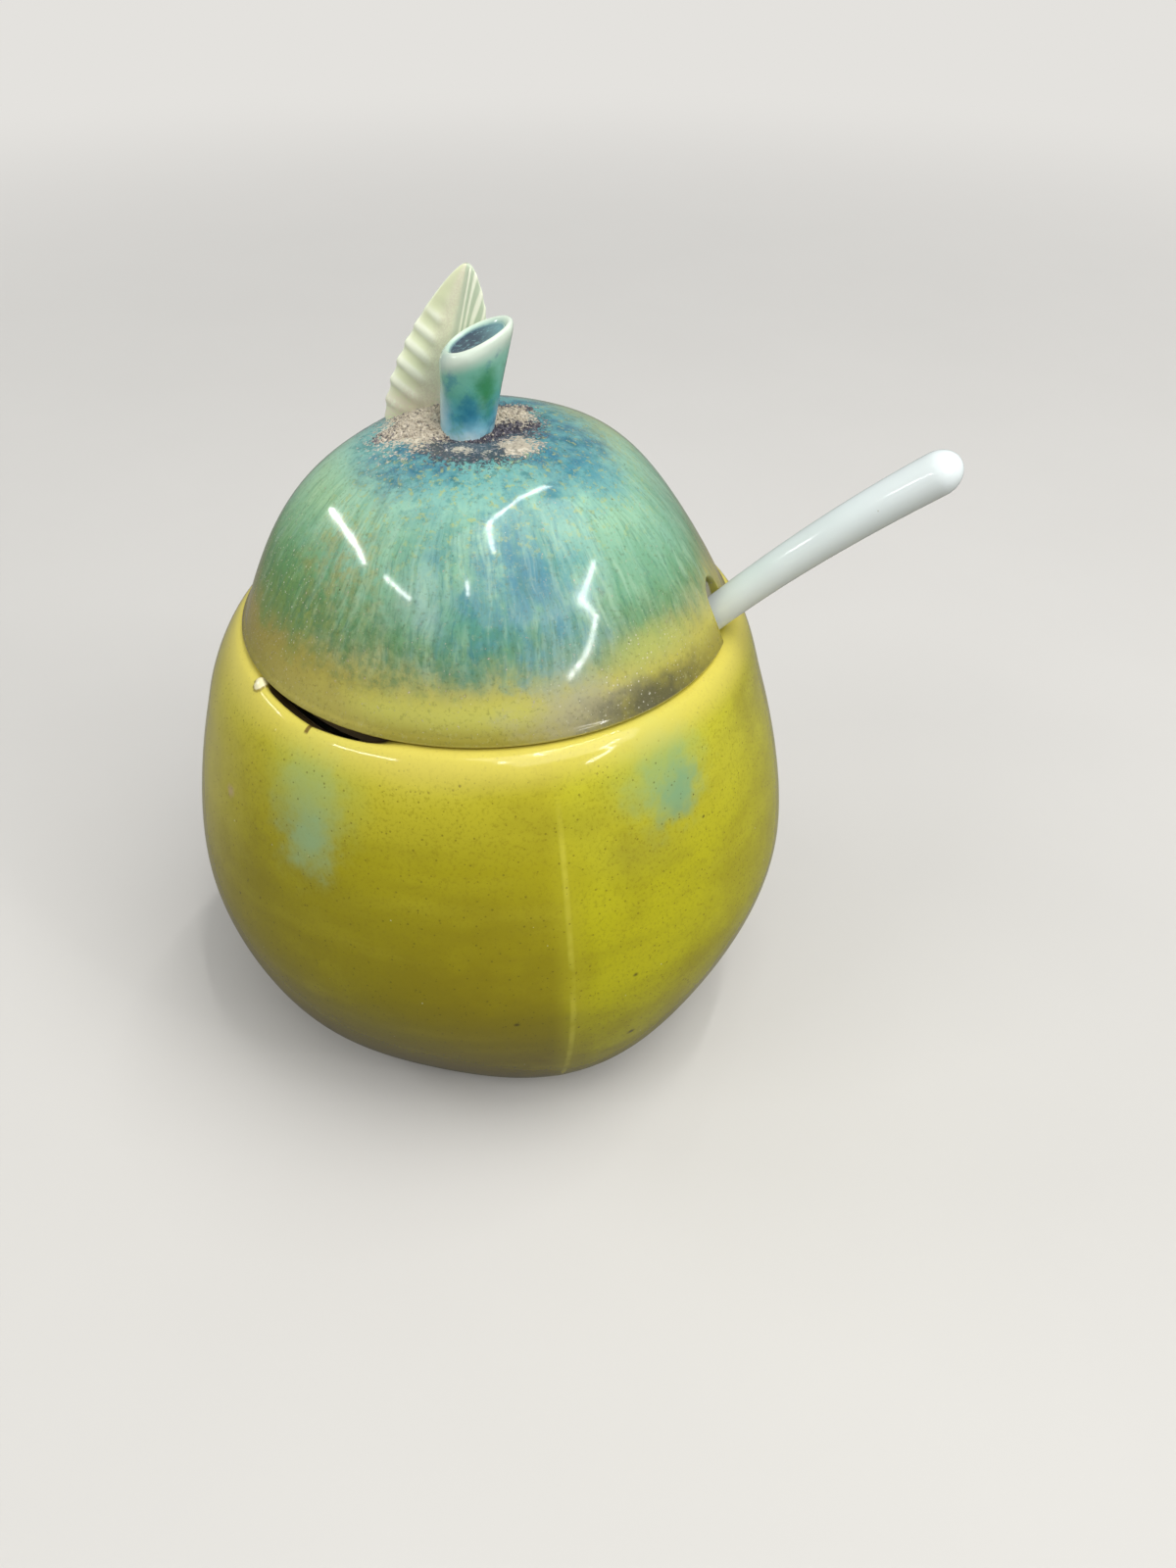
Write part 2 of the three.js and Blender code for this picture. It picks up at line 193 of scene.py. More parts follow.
LEAF_STREAK_WANDER = 0.3
LEAF_STREAK_ACROSS = (0.05, 0.25)
LEAF_STREAK_TIP = (0.0, 0.2)
LEAF_SCALLOP = 0.05
LEAF_SCALLOP_MEAN = 0.4
LEAF_SCALLOP_EDGE = (0.55, 1.0)
LEAF_RIGHT_SHOWN = (-0.05, 0.1)
LEAF_EDGE_SHOWN = (0.9, 1.0)

# Crust: the dry clay and grit round the feet of the stem and the leaf
CRUST_MIDDLE = (-3.2, 2.6)
CRUST_REACH = 10.5
CRUST_STRETCH = (1.1, 0.8)
CRUST_EYE = 0.02
CRUST_HEIGHT = 1.1
CRUST_SLOPE = (1.0, 0.35)
CRUST_SUNK = 0.12
CRUST_DEPTH = 0.6
CRUST_WAVES = range(2, 9)
CRUST_WAVE_SIZE = (0.03, 0.1)
CRUST_LUMP = 0.16
CRUST_LUMPS_FROM = (1.0, 0.8)
CRUST_SEED = 7
GRAIN_SIZE = (0.08, 0.24)
GRAINS_PER_AREA = 5.0
GRIT_SEED = 4

# Fits
SEAT_GAP = 0.3

# Glaze, with the height about which blots lie on the lid's crown, and a half height that spans it
GLAZE_IOR = 1.4
GLOSS_RANGE = 0.08
CROWN_LEVEL = 107
CROWN_SPAN = 60

# Fineness of the meshes: STEPS are counts, a STEP is a length, and RIM_LINED is in steps over the rim
TURN_STEPS = 320
BOWL_CROWDING = 0.5
LID_CROWDING = 0.75
CURVE_STEPS = 48
PROFILE_STEP = 0.9
LINING_STEP = 2 * PROFILE_STEP
LINING_STRIDE = 3
RIM_STEPS = 20
RIM_LINED = (8, 18)
ROUND_STEPS = 6
NOTCH_STEPS = 5
SPOON_TURN_STEPS = 56
SPOON_STEP = 0.8
SPOON_END_STEPS = 14
SPOON_END_START = 0.03
STEM_TURN_STEPS = 72
STEM_SIDE_STEPS = 40
STEM_LIP_STEPS = 9
STEM_FLOOR_STEPS = 12
LEAF_TURN_STEPS = 128
LEAF_STEPS = 150
CRUST_TURN_STEPS = 160
CRUST_STEPS = 36

# Camera, fitted to a picture of 1200 by 1600 pixels
CAMERA_TURN = -72.5
CAMERA_RISE = 37.98
CAMERA_REACH = 207.9
CAMERA_AIM = 50.0
CAMERA_YAW = 4.31
CAMERA_PITCH = -2.27
CAMERA_ROLL = -2.89
CAMERA_CLIP = 0.01
FOCAL_PIXELS = 1202.0
PICTURE_HEIGHT = 1600.0
SENSOR = 36.0

# Long lamps round the pot, in metres, each along a line of directions, as azimuth and rise
LAMP_AIM = 0.095
LAMP_REACH = 1.3
LAMP_WIDTH = 0.022
LAMP_GLOW = 56.0
LAMPS = {
    "left_far": ((168, 24), (-168, 27.5)),
    "left_near": ((-153, 33.5), (-122, 37)),
    "over": ((-43, 62), (-22, 78), (57, 63)),
    "front": ((-71, 53), (-71, 46)),
    "right": ((-12, 42), (-20, 38.5), (-25, 35.5), (-24, 32), (-22, 29), (-26, 25), (-37, 22)),
}

# Panel of light and floor, in metres, but the floor's clouds in millimetres
PANEL_PLACE = (0.65, -0.4, 1.35)
PANEL_ALONG = (1, 1, 0)
PANEL_SIZE = (1.3, 1.3)
PANEL_POWER = 16.0
FLOOR_SIZE = 4.0
FLOOR_DROP = 0.0002
FLOOR_FADE = (0.25, 0.9)
FLOOR_ROUGHNESS = 0.8
FLOOR_CLOUD = 60.0
FLOOR_TONES = ("#d0cdc8", "#d4d1cc")
FLOOR_DULL = "#85817c"

# What the studio looks like past the floor: as light on the pot, and to the camera
SKY = "#939698"
BACKDROP = "#e4e2de"

# Places worked out from the sizes above
rim_round = BOWL_WALL / 2
rim_centre = np.array([RIM_RADIUS, RIM_HEIGHT - rim_round])
seat_height = RIM_HEIGHT + SEAT_GAP
lid_radius = RIM_RADIUS + LID_OVERHANG
plateau_height = seat_height + LID_RISE
top_height = plateau_height - PLATEAU_DISH
flange_radius = RIM_RADIUS - rim_round - FLANGE_CLEARANCE
flange_bore = flange_radius - FLANGE_WALL
leaf_back = STEM_TOP_RADIUS + SEAT_GAP + LEAF_FOLD * LEAF_RIGHT_WIDTH + LEAF_THICKNESS / 2


# Numbers and curves

def smooth(start, end, value):
    share = np.clip((value - start) / (end - start), 0, 1)
    return share * share * (3 - 2 * share)


def below_rim(drop, height):
    """Where a mark is whole, from a pair of distances below the rim."""
    start, end = drop
    return smooth(RIM_HEIGHT - start, RIM_HEIGHT - end, height)


def mix(one, other, share):
    return one + (other - one) * share


def turn_apart(angle, place):
    """Degrees from a place round the axis, between -180 and 180."""
    return (angle - place + 180) % 360 - 180


def bell(value, width):
    return np.exp(-((value / width) ** 2))


def circle(steps):
    return np.linspace(0, math.tau, steps, endpoint=False)


def bezier(start, leave, arrive, end, steps):
    """Points of a cubic curve, and its unit directions there."""
    t = np.linspace(0, 1, steps + 1)[:, None]
    s = 1 - t
    points = s**3 * start + 3 * s * s * t * leave + 3 * s * t * t * arrive + t**3 * end
    slopes = s * s * (leave - start) + 2 * s * t * (arrive - leave) + t * t * (end - arrive)
    return points, slopes / np.linalg.norm(slopes, axis=1)[:, None]


def beside(points, slopes, distance):
    """The points moved to the left of their direction."""
    return points + distance * np.column_stack((-slopes[:, 1], slopes[:, 0]))


def arc(centre, radius, start, end, steps):
    angles = np.radians(np.linspace(start, end, steps + 1))
    return centre + radius * np.column_stack((np.cos(angles), np.sin(angles)))


def spread(points, step):
    """The same line with points no further apart than a step, and none repeated."""
    line = [points[0]]
    for point in points[1:]:
        gap = np.linalg.norm(point - line[-1])
        if gap > 1e-6:
            count = max(1, math.ceil(gap / step))
            start = line[-1]
            line.extend(mix(start, point, (i + 1) / count) for i in range(count))
    return np.array(line)


def direction(azimuth, rise):
    azimuth, rise = math.radians(azimuth), math.radians(rise)
    return Vector((math.cos(azimuth) * math.cos(rise), math.sin(azimuth) * math.cos(rise), math.sin(rise)))


# Objects and meshes

def in_scene(name, data):
    made = bpy.data.objects.new(name, data)
    bpy.context.scene.collection.objects.link(made)
    return made


def mesh_piece(name, mesh, body, node):
    """Puts a finished mesh in the scene as the piece that stands for a node."""
    piece = in_scene(name, mesh)
    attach(piece, body)
    if node:
        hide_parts(node)


def points_of(mesh):
    """A mesh's points in millimetres."""
    flat = np.empty(len(mesh.vertices) * 3, np.float32)
    mesh.vertices.foreach_get("co", flat)
    return flat.reshape(-1, 3).astype(float) / MM


def move_points(mesh, points):
    mesh.vertices.foreach_set("co", (points * MM).astype(np.float32).ravel())
    mesh.update()


def values_of(mesh, name):
    values = np.empty(len(mesh.vertices), np.float32)
    mesh.attributes[name].data.foreach_get("value", values)
    return values.astype(float)


def store_values(mesh, name, values):
    layer = mesh.attributes.new(name, "FLOAT", "POINT")
    layer.data.foreach_set("value", np.asarray(values, np.float32))


def loft_mesh(name, rings, material, **values):
    """A closed skin over rings of points, with each end drawn together to a middle point.

    values are one number for each ring and point, kept as attributes for the material.
    """
    rows, count, _ = rings.shape
    ends = rings[[0, -1]].mean(axis=1)
    points = np.concatenate((rings.reshape(-1, 3), ends))
    faces = []
    for row in range(rows - 1):
        for i in range(count):
            a, b = row * count + i, row * count + (i + 1) % count
            faces.append((a, b, b + count, a + count))
    last = (rows - 1) * count
    for i in range(count):
        after = (i + 1) % count
        faces.append((rows * count, after, i))
        faces.append((rows * count + 1, last + i, last + after))
    mesh = bpy.data.meshes.new(name)
    mesh.from_pydata((points * MM).tolist(), [], faces)
    mesh.shade_smooth()
    mesh.materials.append(material)
    for key, value in values.items():
        ends = [value[0].mean(), value[-1].mean()]
        store_values(mesh, key, np.concatenate((value.ravel(), ends)))
    return mesh


# Node trees

def math_node(operation, flipped=False):
    """An operator for wires that adds a Math node."""
    def operate(first, *others):
        return calc(first.tree, operation, *((*others, first) if flipped else (first, *others)))
    return operate


class Wire:
    """What a node puts out. A sum with it adds a Math node to its tree.

    Of two masks, one * other is where both are, and one | other is where either is.
    """

    __add__ = math_node("ADD")
    __sub__ = math_node("SUBTRACT")
    __rsub__ = math_node("SUBTRACT", flipped=True)
    __mul__ = math_node("MULTIPLY")
    __truediv__ = math_node("DIVIDE")
    __rtruediv__ = math_node("DIVIDE", flipped=True)
    __pow__ = math_node("POWER")
    __or__ = math_node("MAXIMUM")
    __abs__ = math_node("ABSOLUTE")

    def __init__(self, tree, socket):
        self.tree = tree
        self.socket = socket

    def math(self, operation, *others):
        return calc(self.tree, operation, self, *others)


def add(tree, kind, inputs=None, **settings):
    """Adds a node, with its inputs fed by plain values or by wires."""
    made = tree.nodes.new(kind)
    for name, value in settings.items():
        setattr(made, name, value)
    for key, value in (inputs or {}).items():
        if isinstance(value, Wire):
            tree.links.new(value.socket, made.inputs[key])
        else:
            made.inputs[key].default_value = value
    return made


def wire(tree, kind, inputs=None, out=0, **settings):
    """Adds a node and gives one of its outputs."""
    return Wire(tree, add(tree, kind, inputs, **settings).outputs[out])


def wires(tree, kind, inputs=None, **settings):
    """Adds a node and gives all its outputs."""
    return [Wire(tree, socket) for socket in add(tree, kind, inputs, **settings).outputs]


def calc(tree, operation, *values):
    return wire(tree, "ShaderNodeMath", dict(enumerate(values)), operation=operation)


def fade(value, start, end, kind="SMOOTHSTEP"):
    """A mask that goes from 0 at start to 1 at end."""
    inputs = {"Value": value, "From Min": start, "From Max": end}
    return wire(value.tree, "ShaderNodeMapRange", inputs, interpolation_type=kind)


def window(value, start, end, soft):
    """A mask over the values from start to end."""
    return fade(value, start - soft, start + soft) * fade(value, end + soft, end - soft)


def new_group(name, kind, inputs, outputs):
    """An empty node group, and the wires from its inputs by name.

    An input is given by its usual value, or by its sort if it has none, and an output by its sort.
    """
    tree = bpy.data.node_groups.new(name, kind)
    for socket, value in inputs.items():
        sort = value if isinstance(value, str) else {int: "Int", float: "Float"}[type(value)]
        made = tree.interface.new_socket(socket, in_out="INPUT", socket_type="NodeSocket" + sort)
        if sort != value:
            made.default_value = value
    for socket, sort in outputs.items():
        tree.interface.new_socket(socket, in_out="OUTPUT", socket_type="NodeSocket" + sort)
    entry = tree.nodes.new("NodeGroupInput")
    return tree, {socket: Wire(tree, entry.outputs[socket]) for socket in inputs}


def shape_group(name, inputs):
    return new_group(name, "GeometryNodeTree", inputs, {"Geometry": "Geometry"})


def end_shape(tree, shape, material):
    """Ends a geometry tree with plain meshes of one material."""
    whole = wire(tree, "GeometryNodeRealizeInstances", {"Geometry": shape})
    painted = wire(tree, "GeometryNodeSetMaterial", {"Geometry": whole, "Material": material})
    add(tree, "NodeGroupOutput", {"Geometry": painted})
    return tree


def build_with(tree, name, inputs):
    """The mesh that a geometry tree makes from the given inputs."""
    holder = in_scene(name, bpy.data.meshes.new(name))
    modifier = holder.modifiers.new(name, "NODES")
    modifier.node_group = tree
    for item in tree.interface.items_tree:
        if item.in_out == "INPUT" and item.name in inputs:
            modifier[item.identifier] = inputs[item.name]
    graph = bpy.context.evaluated_depsgraph_get()
    mesh = bpy.data.meshes.new_from_object(
        holder.evaluated_get(graph), preserve_all_data_layers=True, depsgraph=graph)
    mesh.name = name
    bpy.data.objects.remove(holder)
    return mesh


def turned_shell_tree():
    """Turns a profile about the axis and swells it into soft lobes."""
    tree, given = shape_group("Turned Shell", {
        "Profile": "Object",
        "Profile Points": 2,
        "Turn Steps": 64,
        "Crowding": 0.0,
        "Crowd Turn": 0.0,
        "Lobes": LOBES,
        "Lobe Size": 0.0,
        "Lobe Crest": 0.0,
        "Lobe Foot": 0.0,
        "Lobe Top": 1.0,
        "Lobe Rise": 1.0,
        "Lobe Fall": 1.0,
        "Lobe Fade": 1.0,
        "Material": "Material",
    })
    position = wire(tree, "GeometryNodeInputPosition")
    sheet = wire(tree, "GeometryNodeMeshGrid", {
        "Size X": 1.0, "Size Y": 1.0,
        "Vertices X": given["Turn Steps"] + 1, "Vertices Y": given["Profile Points"],
    }, "Mesh")
    x, y, _ = wires(tree, "ShaderNodeSeparateXYZ", {0: position})
    around = (x + 0.5) * math.tau
    angle = around - around.math("SINE") * given["Crowding"] + given["Crowd Turn"]
    index = ((y + 0.5) * (given["Profile Points"] - 1)).math("ROUND")
    profile = wire(tree, "GeometryNodeObjectInfo", {"Object": given["Profile"]}, "Geometry")
    spot = wire(tree, "GeometryNodeSampleIndex", {
        "Geometry": profile, "Value": position, "Index": index,
    }, data_type="FLOAT_VECTOR", domain="POINT")
    radius, _, height = wires(tree, "ShaderNodeSeparateXYZ", {0: spot})

    share = fade(height, given["Lobe Foot"], given["Lobe Top"], "LINEAR")
    peak = given["Lobe Rise"] / (given["Lobe Rise"] + given["Lobe Fall"])
    left = (1.0 - share) / (1.0 - peak)
    hump = (share / peak) ** given["Lobe Rise"] * left ** given["Lobe Fall"]
    wave = ((angle - given["Lobe Crest"]) * given["Lobes"]).math("COSINE")
    size = given["Lobe Size"] * fade(radius, 0.0, given["Lobe Fade"])
    grown = radius + hump * wave * size
    turned = wire(tree, "ShaderNodeCombineXYZ", {
        "X": grown * angle.math("COSINE"), "Y": grown * angle.math("SINE"), "Z": height})

    marked = wire(tree, "GeometryNodeStoreNamedAttribute", {
        "Geometry": sheet, "Name": "along", "Value": index,
    }, data_type="FLOAT", domain="POINT")
    moved = wire(tree, "GeometryNodeSetPosition", {"Geometry": marked, "Position": turned})
    closed = wire(tree, "GeometryNodeMergeByDistance", {"Geometry": moved, "Distance": 1e-6})
    rounded = wire(tree, "GeometryNodeSetShadeSmooth", {"Geometry": closed})
    return end_shape(tree, rounded, given["Material"])


def turned_shell(tree, name, profile, inward, lobe, crowding, material):
    """The mesh of a profile turned about the axis.

    inward is how far each point of the profile is inside, lobe is size, crest, foot, top, rise and
    fall, and crowding is how much closer the columns stand in one direction, and that direction.
    """
    line = bpy.data.curves.new(name + "_profile", "CURVE")
    line.dimensions = "3D"
    spline = line.splines.new("POLY")
    spline.points.add(len(profile) - 1)
    for point, (radius, height) in zip(spline.points, profile):
        point.co = (radius * MM, 0, height * MM, 1)
    holder = in_scene(line.name, line)
    size, crest, foot, top, rise, fall = lobe
    mesh = build_with(tree, name, {
        "Profile": holder,
        "Profile Points": len(profile),
        "Turn Steps": TURN_STEPS,
        "Crowding": crowding[0],
        "Crowd Turn": math.radians(crowding[1]),
        "Lobes": LOBES,
        "Lobe Size": size * MM,
        "Lobe Crest": math.radians(crest),
        "Lobe Foot": foot * MM,
        "Lobe Top": top * MM,
        "Lobe Rise": float(rise),
        "Lobe Fall": float(fall),
        "Lobe Fade": LOBE_FADE * MM,
        "Material": material,
    })
    bpy.data.objects.remove(holder)
    store_values(mesh, "inside", np.interp(values_of(mesh, "along"), np.arange(len(inward)), inward))
    return mesh


# Shader parts that the finishes share

def paint(code):
    """A colour written as on screen, for a node's socket."""
    shares = [int(code[i:i + 2], 16) / 255 for i in (1, 3, 5)]
    return (*(((s + 0.055) / 1.055) ** 2.4 if s > 0.04045 else s / 12.92 for s in shares), 1.0)


def blend(mask, *colours):
    """Two colours mixed by a mask, each a wire or written as on screen.

    The colour sockets of a Mix node are 6 and 7, and 2 puts out.
    """
    below, above = (paint(colour) if isinstance(colour, str) else colour for colour in colours)
    return wire(mask.tree, "ShaderNodeMix", {0: mask, 6: below, 7: above}, 2, data_type="RGBA")


def ramp(value, stops):
    """Colours by value: stops are pairs of place and colour."""
    made = add(value.tree, "ShaderNodeValToRGB", {"Fac": value})
    steps = made.color_ramp.elements
    while len(steps) < len(stops):
        steps.new(1.0)
    for step, (place, colour) in zip(steps, stops):
        step.position = place
        step.color = paint(colour)
    return Wire(value.tree, made.outputs["Color"])


def object_place(tree):
    return wire(tree, "ShaderNodeTexCoord", out="Object")


def attribute(tree, name):
    return wire(tree, "ShaderNodeAttribute", out="Fac", attribute_name=name)


def noise(tree, size, detail=2.0, roughness=0.5, vector=None):
    """Cloudy values from 0 to 1. size is that of the clouds in millimetres."""
    return wire(tree, "ShaderNodeTexNoise", {
        "Vector": vector or object_place(tree), "Scale": METRE / size,
        "Detail": detail, "Roughness": roughness}, "Fac")


def bumps(height, distance):
    """A surface's direction with small bumps. distance is how high they are in millimetres."""
    return wire(height.tree, "ShaderNodeBump", {
        "Strength": 1.0, "Distance": distance * MM, "Height": height})


def value_group(name, inputs, *outputs):
    return new_group(name, "ShaderNodeTree", inputs, dict.fromkeys(outputs, "Float"))


def placer(group):
    """A function that puts a shared group in a tree, with values for its inputs in their order."""
    def place(tree, *values):
        made = wires(tree, "ShaderNodeGroup", dict(enumerate(values)), node_tree=group)
        return made if len(made) > 1 else made[0]
    return place


def pot_place_group():
    """Where a point is on the pot: azimuth in degrees, and height and reach in millimetres."""
    tree, _ = value_group("Pot Place", {}, "Azimuth", "Height", "Reach")
    x, y, z = wires(tree, "ShaderNodeSeparateXYZ", {0: object_place(tree)})
    add(tree, "NodeGroupOutput", {
        "Azimuth": y.math("ARCTAN2", x).math("DEGREES"),
        "Height": z * METRE,
        "Reach": (x * x + y * y).math("SQRT") * METRE,
    })
    return tree


pot_place = placer(pot_place_group())


def glaze_patch_group():
    """A soft blot of glaze on the pot, at an azimuth and a height, with a ragged edge."""
    tree, given = value_group("Glaze Patch", {
        "Azimuth": 0.0,
        "Height": 0.0,
        "Half Width": 10.0,
        "Half Height": 5.0,
        "Ragged": 0.5,
        "Core": 0.0,
    }, "Mask")
    azimuth, height, _ = pot_place(tree)
    turn = (azimuth - given["Azimuth"]).math("RADIANS")
    across = turn.math("COSINE").math("ARCCOSINE").math("DEGREES") / given["Half Width"]
    up = (height - given["Height"]) / given["Half Height"]
    away = (across * across + up * up).math("SQRT")
    clouds = noise(tree, 4.0, 5.0, 0.65) - 0.5
    edge = clouds * (given["Ragged"] * 2.0) + away
    add(tree, "NodeGroupOutput", {"Mask": fade(edge, 1.15, given["Core"])})
    return tree


def glaze_streaks_group():
    """Fine runs of glaze down the pot's side. Width and Length are in millimetres."""
    tree, given = value_group("Glaze Streaks", {
        "Width": 1.0,
        "Length": 8.0,
        "Seed": 0.0,
        "Low": 0.4,
        "High": 0.6,
    }, "Mask")
    azimuth, height, _ = pot_place(tree)
    wander = noise(tree, 9.0) * 5.0
    turn = (azimuth + wander).math("RADIANS")
    turns = lid_radius / given["Width"]
    vector = wire(tree, "ShaderNodeCombineXYZ", {
        "X": turn.math("COSINE") * turns,
        "Y": turn.math("SINE") * turns,
        "Z": height / given["Length"] + given["Seed"],
    })
    runs = noise(tree, METRE, 3.0, 0.6, vector)
    add(tree, "NodeGroupOutput", {"Mask": fade(runs, given["Low"], given["High"])})
    return tree


def speckle_group():
    """Scattered dots: a share of the cells hold one each. Cell and Dot are in millimetres."""
    tree, given = value_group("Speckle", {"Cell": 1.0, "Share": 0.3, "Dot": 0.3}, "Mask")
    distance, colour, *_ = wires(tree, "ShaderNodeTexVoronoi", {
        "Vector": object_place(tree), "Scale": METRE / given["Cell"]})
    draw, growth, _ = wires(tree, "ShaderNodeSeparateColor", {0: colour})
    size = given["Dot"] * growth / given["Cell"]
    kept = draw.math("LESS_THAN", given["Share"])
    add(tree, "NodeGroupOutput", {"Mask": fade(distance, size, size * 0.5) * kept})
    return tree


def mottle_group():
    """Fine cloudy grain that breaks up a glaze. Size is in millimetres."""
    tree, given = value_group("Glaze Mottle", {"Size": 1.0, "Low": 0.45, "High": 0.65}, "Mask")
    clouds = noise(tree, given["Size"], 5.0, 0.65)
    add(tree, "NodeGroupOutput", {"Mask": fade(clouds, given["Low"], given["High"])})
    return tree


def glaze_ripple_group():
    """The slight waves of a fired glaze, and how its gloss varies. Wave is in millimetres."""
    tree, given = value_group("Glaze Ripple", {"Wave": 9.0, "Gloss": 0.1, "Gloss Range": 0.06},
                              "Height", "Roughness")
    waves = noise(tree, given["Wave"], 1.0)
    fine = noise(tree, given["Wave"] / 9.0)
    add(tree, "NodeGroupOutput", {
        "Height": fine * 0.05 + waves,
        "Roughness": (fine - 0.5) * given["Gloss Range"] + given["Gloss"],
    })
    return tree


patch = placer(glaze_patch_group())
streaks = placer(glaze_streaks_group())
speckle = placer(speckle_group())
mottle = placer(mottle_group())
ripple = placer(glaze_ripple_group())


def sector(tree, azimuth, half_width, *edge):
    """A blot on the crown that is so tall that only its azimuth counts."""
    return patch(tree, azimuth, CROWN_LEVEL, half_width, CROWN_SPAN, *edge)


def crown_dust_group():
    """Dry dust and grit round the foot of the stem: pale on the far side, dark in front."""
    tree, _ = value_group("Crown Dust", {}, "Pale", "Dark")
    _, _, reach = pot_place(tree)
    grain = noise(tree, 0.55, 4.0, 0.7)

    def grains(thickness):
        return fade(thickness * 0.4 + grain, 0.63, 0.75)

    left = sector(tree, -172, 62, 0.5, 0.2) * fade(reach, 21, 7)
    clump = sector(tree, -38, 33, 1.3) * window(reach, 5.4, 11.0, 2.2)
    spill = sector(tree, -96, 17, 1.3) * window(reach, 6.6, 9.0, 2.0)
    back = sector(tree, 50, 46, 0.8) * fade(reach, 11, 6)
    front = sector(tree, -84, 84, 0.4, 0.4) * fade(reach, 15.5, 8)
    dark = front | fade(reach, 13, 6) * 0.75
    add(tree, "NodeGroupOutput", {"Pale": grains(left | clump | spill | back), "Dark": grains(dark)})
    return tree


crown_dust = placer(crown_dust_group())


class Coat:
    """Colours laid over one another on a surface."""

    def __init__(self, tree, colour):
        self.tree = tree
        self.colour = colour

    def lay(self, code, share, mask):
        self.colour = blend(mask * share, self.colour, code)

    def lay_rows(self, mask_of, rows):
        """Lays rows of a colour, the share of it that covers what is below, and its mask's values.

        The values are in the order of the inputs of the mask's group.
        """
        for code, share, *values in rows:
            self.lay(code, share, mask_of(self.tree, *values))


def new_finish(name):
    """A material with an empty tree, and that tree."""
    material = bpy.data.materials.new(name)
    material.use_nodes = True
    material.node_tree.nodes.clear()
    return material, material.node_tree


def glazed(name, colour_of, gloss=0.1, wave=9.0, wave_height=0.09, dull_of=None):
    """A glossy glaze over clay. colour_of and dull_of take the tree and give wires."""
    material, tree = new_finish(name)
    waves, roughness = ripple(tree, wave, gloss, GLOSS_RANGE)
    if dull_of:
        roughness = roughness | dull_of(tree)
    shader = wire(tree, "ShaderNodeBsdfPrincipled", {
        "Base Color": colour_of(tree), "Roughness": roughness, "IOR": GLAZE_IOR,
        "Normal": bumps(waves, wave_height)})
    add(tree, "ShaderNodeOutputMaterial", {"Surface": shader})
    return material


def dry_clay(name, colour_of):
    """A rough unglazed finish."""
    material, tree = new_finish(name)
    grain = noise(tree, 0.4, 3.0, 0.7)
    shader = wire(tree, "ShaderNodeBsdfPrincipled", {
        "Base Color": colour_of(tree), "Roughness": fade(grain, -0.4, 0.3), "Normal": bumps(grain, 0.25)})
    add(tree, "ShaderNodeOutputMaterial", {"Surface": shader})
    return material


# Finishes

IVORY = "#e6e1cd"

# The bowl's glaze by height, darker towards the foot; the darkest low tones are partly painted shade
BOWL_TONES_AND_SHADE = [
    (0.00, "#655a02"),
    (0.30, "#786c02"),
    (0.60, "#897d04"),
    (0.80, "#a0960e"),
    (0.92, "#b8ae2a"),
    (1.00, "#cbc04a"),
]
BOWL_CLOUDS = [
    ("#75660a", 0.4, 26.0, 0.46, 0.66),
    ("#b2a814", 0.3, 11.0, 0.5, 0.75),
]
BOWL_RUNS = [
    ("#655609", 0.28, 26.0, 8.0, 3.0, 0.44, 0.72),
    ("#c2b832", 0.18, 22.0, 5.0, 8.0, 0.48, 0.76),
]
BOWL_BLOTS_AND_SHEEN = [
    # Partly painted sheen: the large pale blot on the left shoulder
    ("#d3c854", 0.75, -149, 64, 26, 28, 0.3),
    ("#8a7b0a", 0.5, SEAM_TURN - 16, 40, 17, 24, 0.5),
    ("#a9b85c", 0.7, -109.5, 71.5, 14.0, 10.0, 0.3),
    ("#a9b85c", 0.75, -40.0, 73.5, 14.0, 10.0, 0.3),
    ("#9bb57e", 0.55, -109.5, 66.5, 9.5, 11.0, 0.6),
    ("#8fb58c", 0.55, -109.0, 63.0, 7.0, 6.0, 0.8),
    ("#93b476", 0.6, -38.5, 70.0, 11.0, 9.0, 0.8),
    ("#79a884", 0.7, -37.6, 67.6, 7.5, 5.5, 1.0),
    ("#857a2e", 0.35, -45.0, 61.5, 14.0, 6.0, 0.5),
]
BOWL_DOTS = [
    ("#4d400a", 0.5, 0.65, 0.5, 0.24),
    ("#4a3c10", 0.8, 3.4, 0.3, 0.3),
    ("#e6e2ac", 0.65, 2.2, 0.3, 0.2),
]
BOWL_SPOTS = [
    ("#3c300c", 0.85, -50.4, 40.6, 0.7, 0.5, 0.6),
    ("#3c300c", 0.85, -71.7, 35.4, 0.7, 0.5, 0.6),
    ("#3c300c", 0.85, -49.5, 24.5, 1.12, 0.8, 0.6),
    ("#3c300c", 0.85, -32.0, 61.5, 0.42, 0.3, 0.6),
    ("#c9a59a", 0.5, -131.6, 62.0, 1.6, 1.3, 0.8),
]


def bowl_ground_with_painted_light(tree):
    """The bowl's yellow glaze: darker below, partly as painted shade, sunnier to the right of the seam,
    cloudy and brushed, with a pale blot on the left shoulder that is partly painted sheen.
    """
    azimuth, height, _ = pot_place(tree)
    drift = (noise(tree, 22.0, 3.0, 0.55) - 0.5) * 14.0
    coat = Coat(tree, ramp((height + drift) / RIM_HEIGHT, BOWL_TONES_AND_SHADE))
    uneven = azimuth + (noise(tree, 14.0, 3.0) - 0.5) * 12.0
    beside_seam = fade(uneven, SEAM_TURN - 3, SEAM_TURN + 6) * fade(azimuth, 90, 0)
    sunny = beside_seam * fade(height, -4, 20)
    coat.lay("#bcb80e", 0.8, sunny)
    coat.lay("#c6c23c", 0.55, sunny * fade(height, 52, 74))
    coat.lay_rows(mottle, BOWL_CLOUDS)
    coat.lay_rows(streaks, BOWL_RUNS)
    coat.lay("#6e5f08", 0.4, mottle(tree, 0.5, 0.48, 0.68))
    coat.lay("#e0d830", 0.12, fade(height, 8, 40))
    coat.lay_rows(patch, BOWL_BLOTS_AND_SHEEN)
    return coat


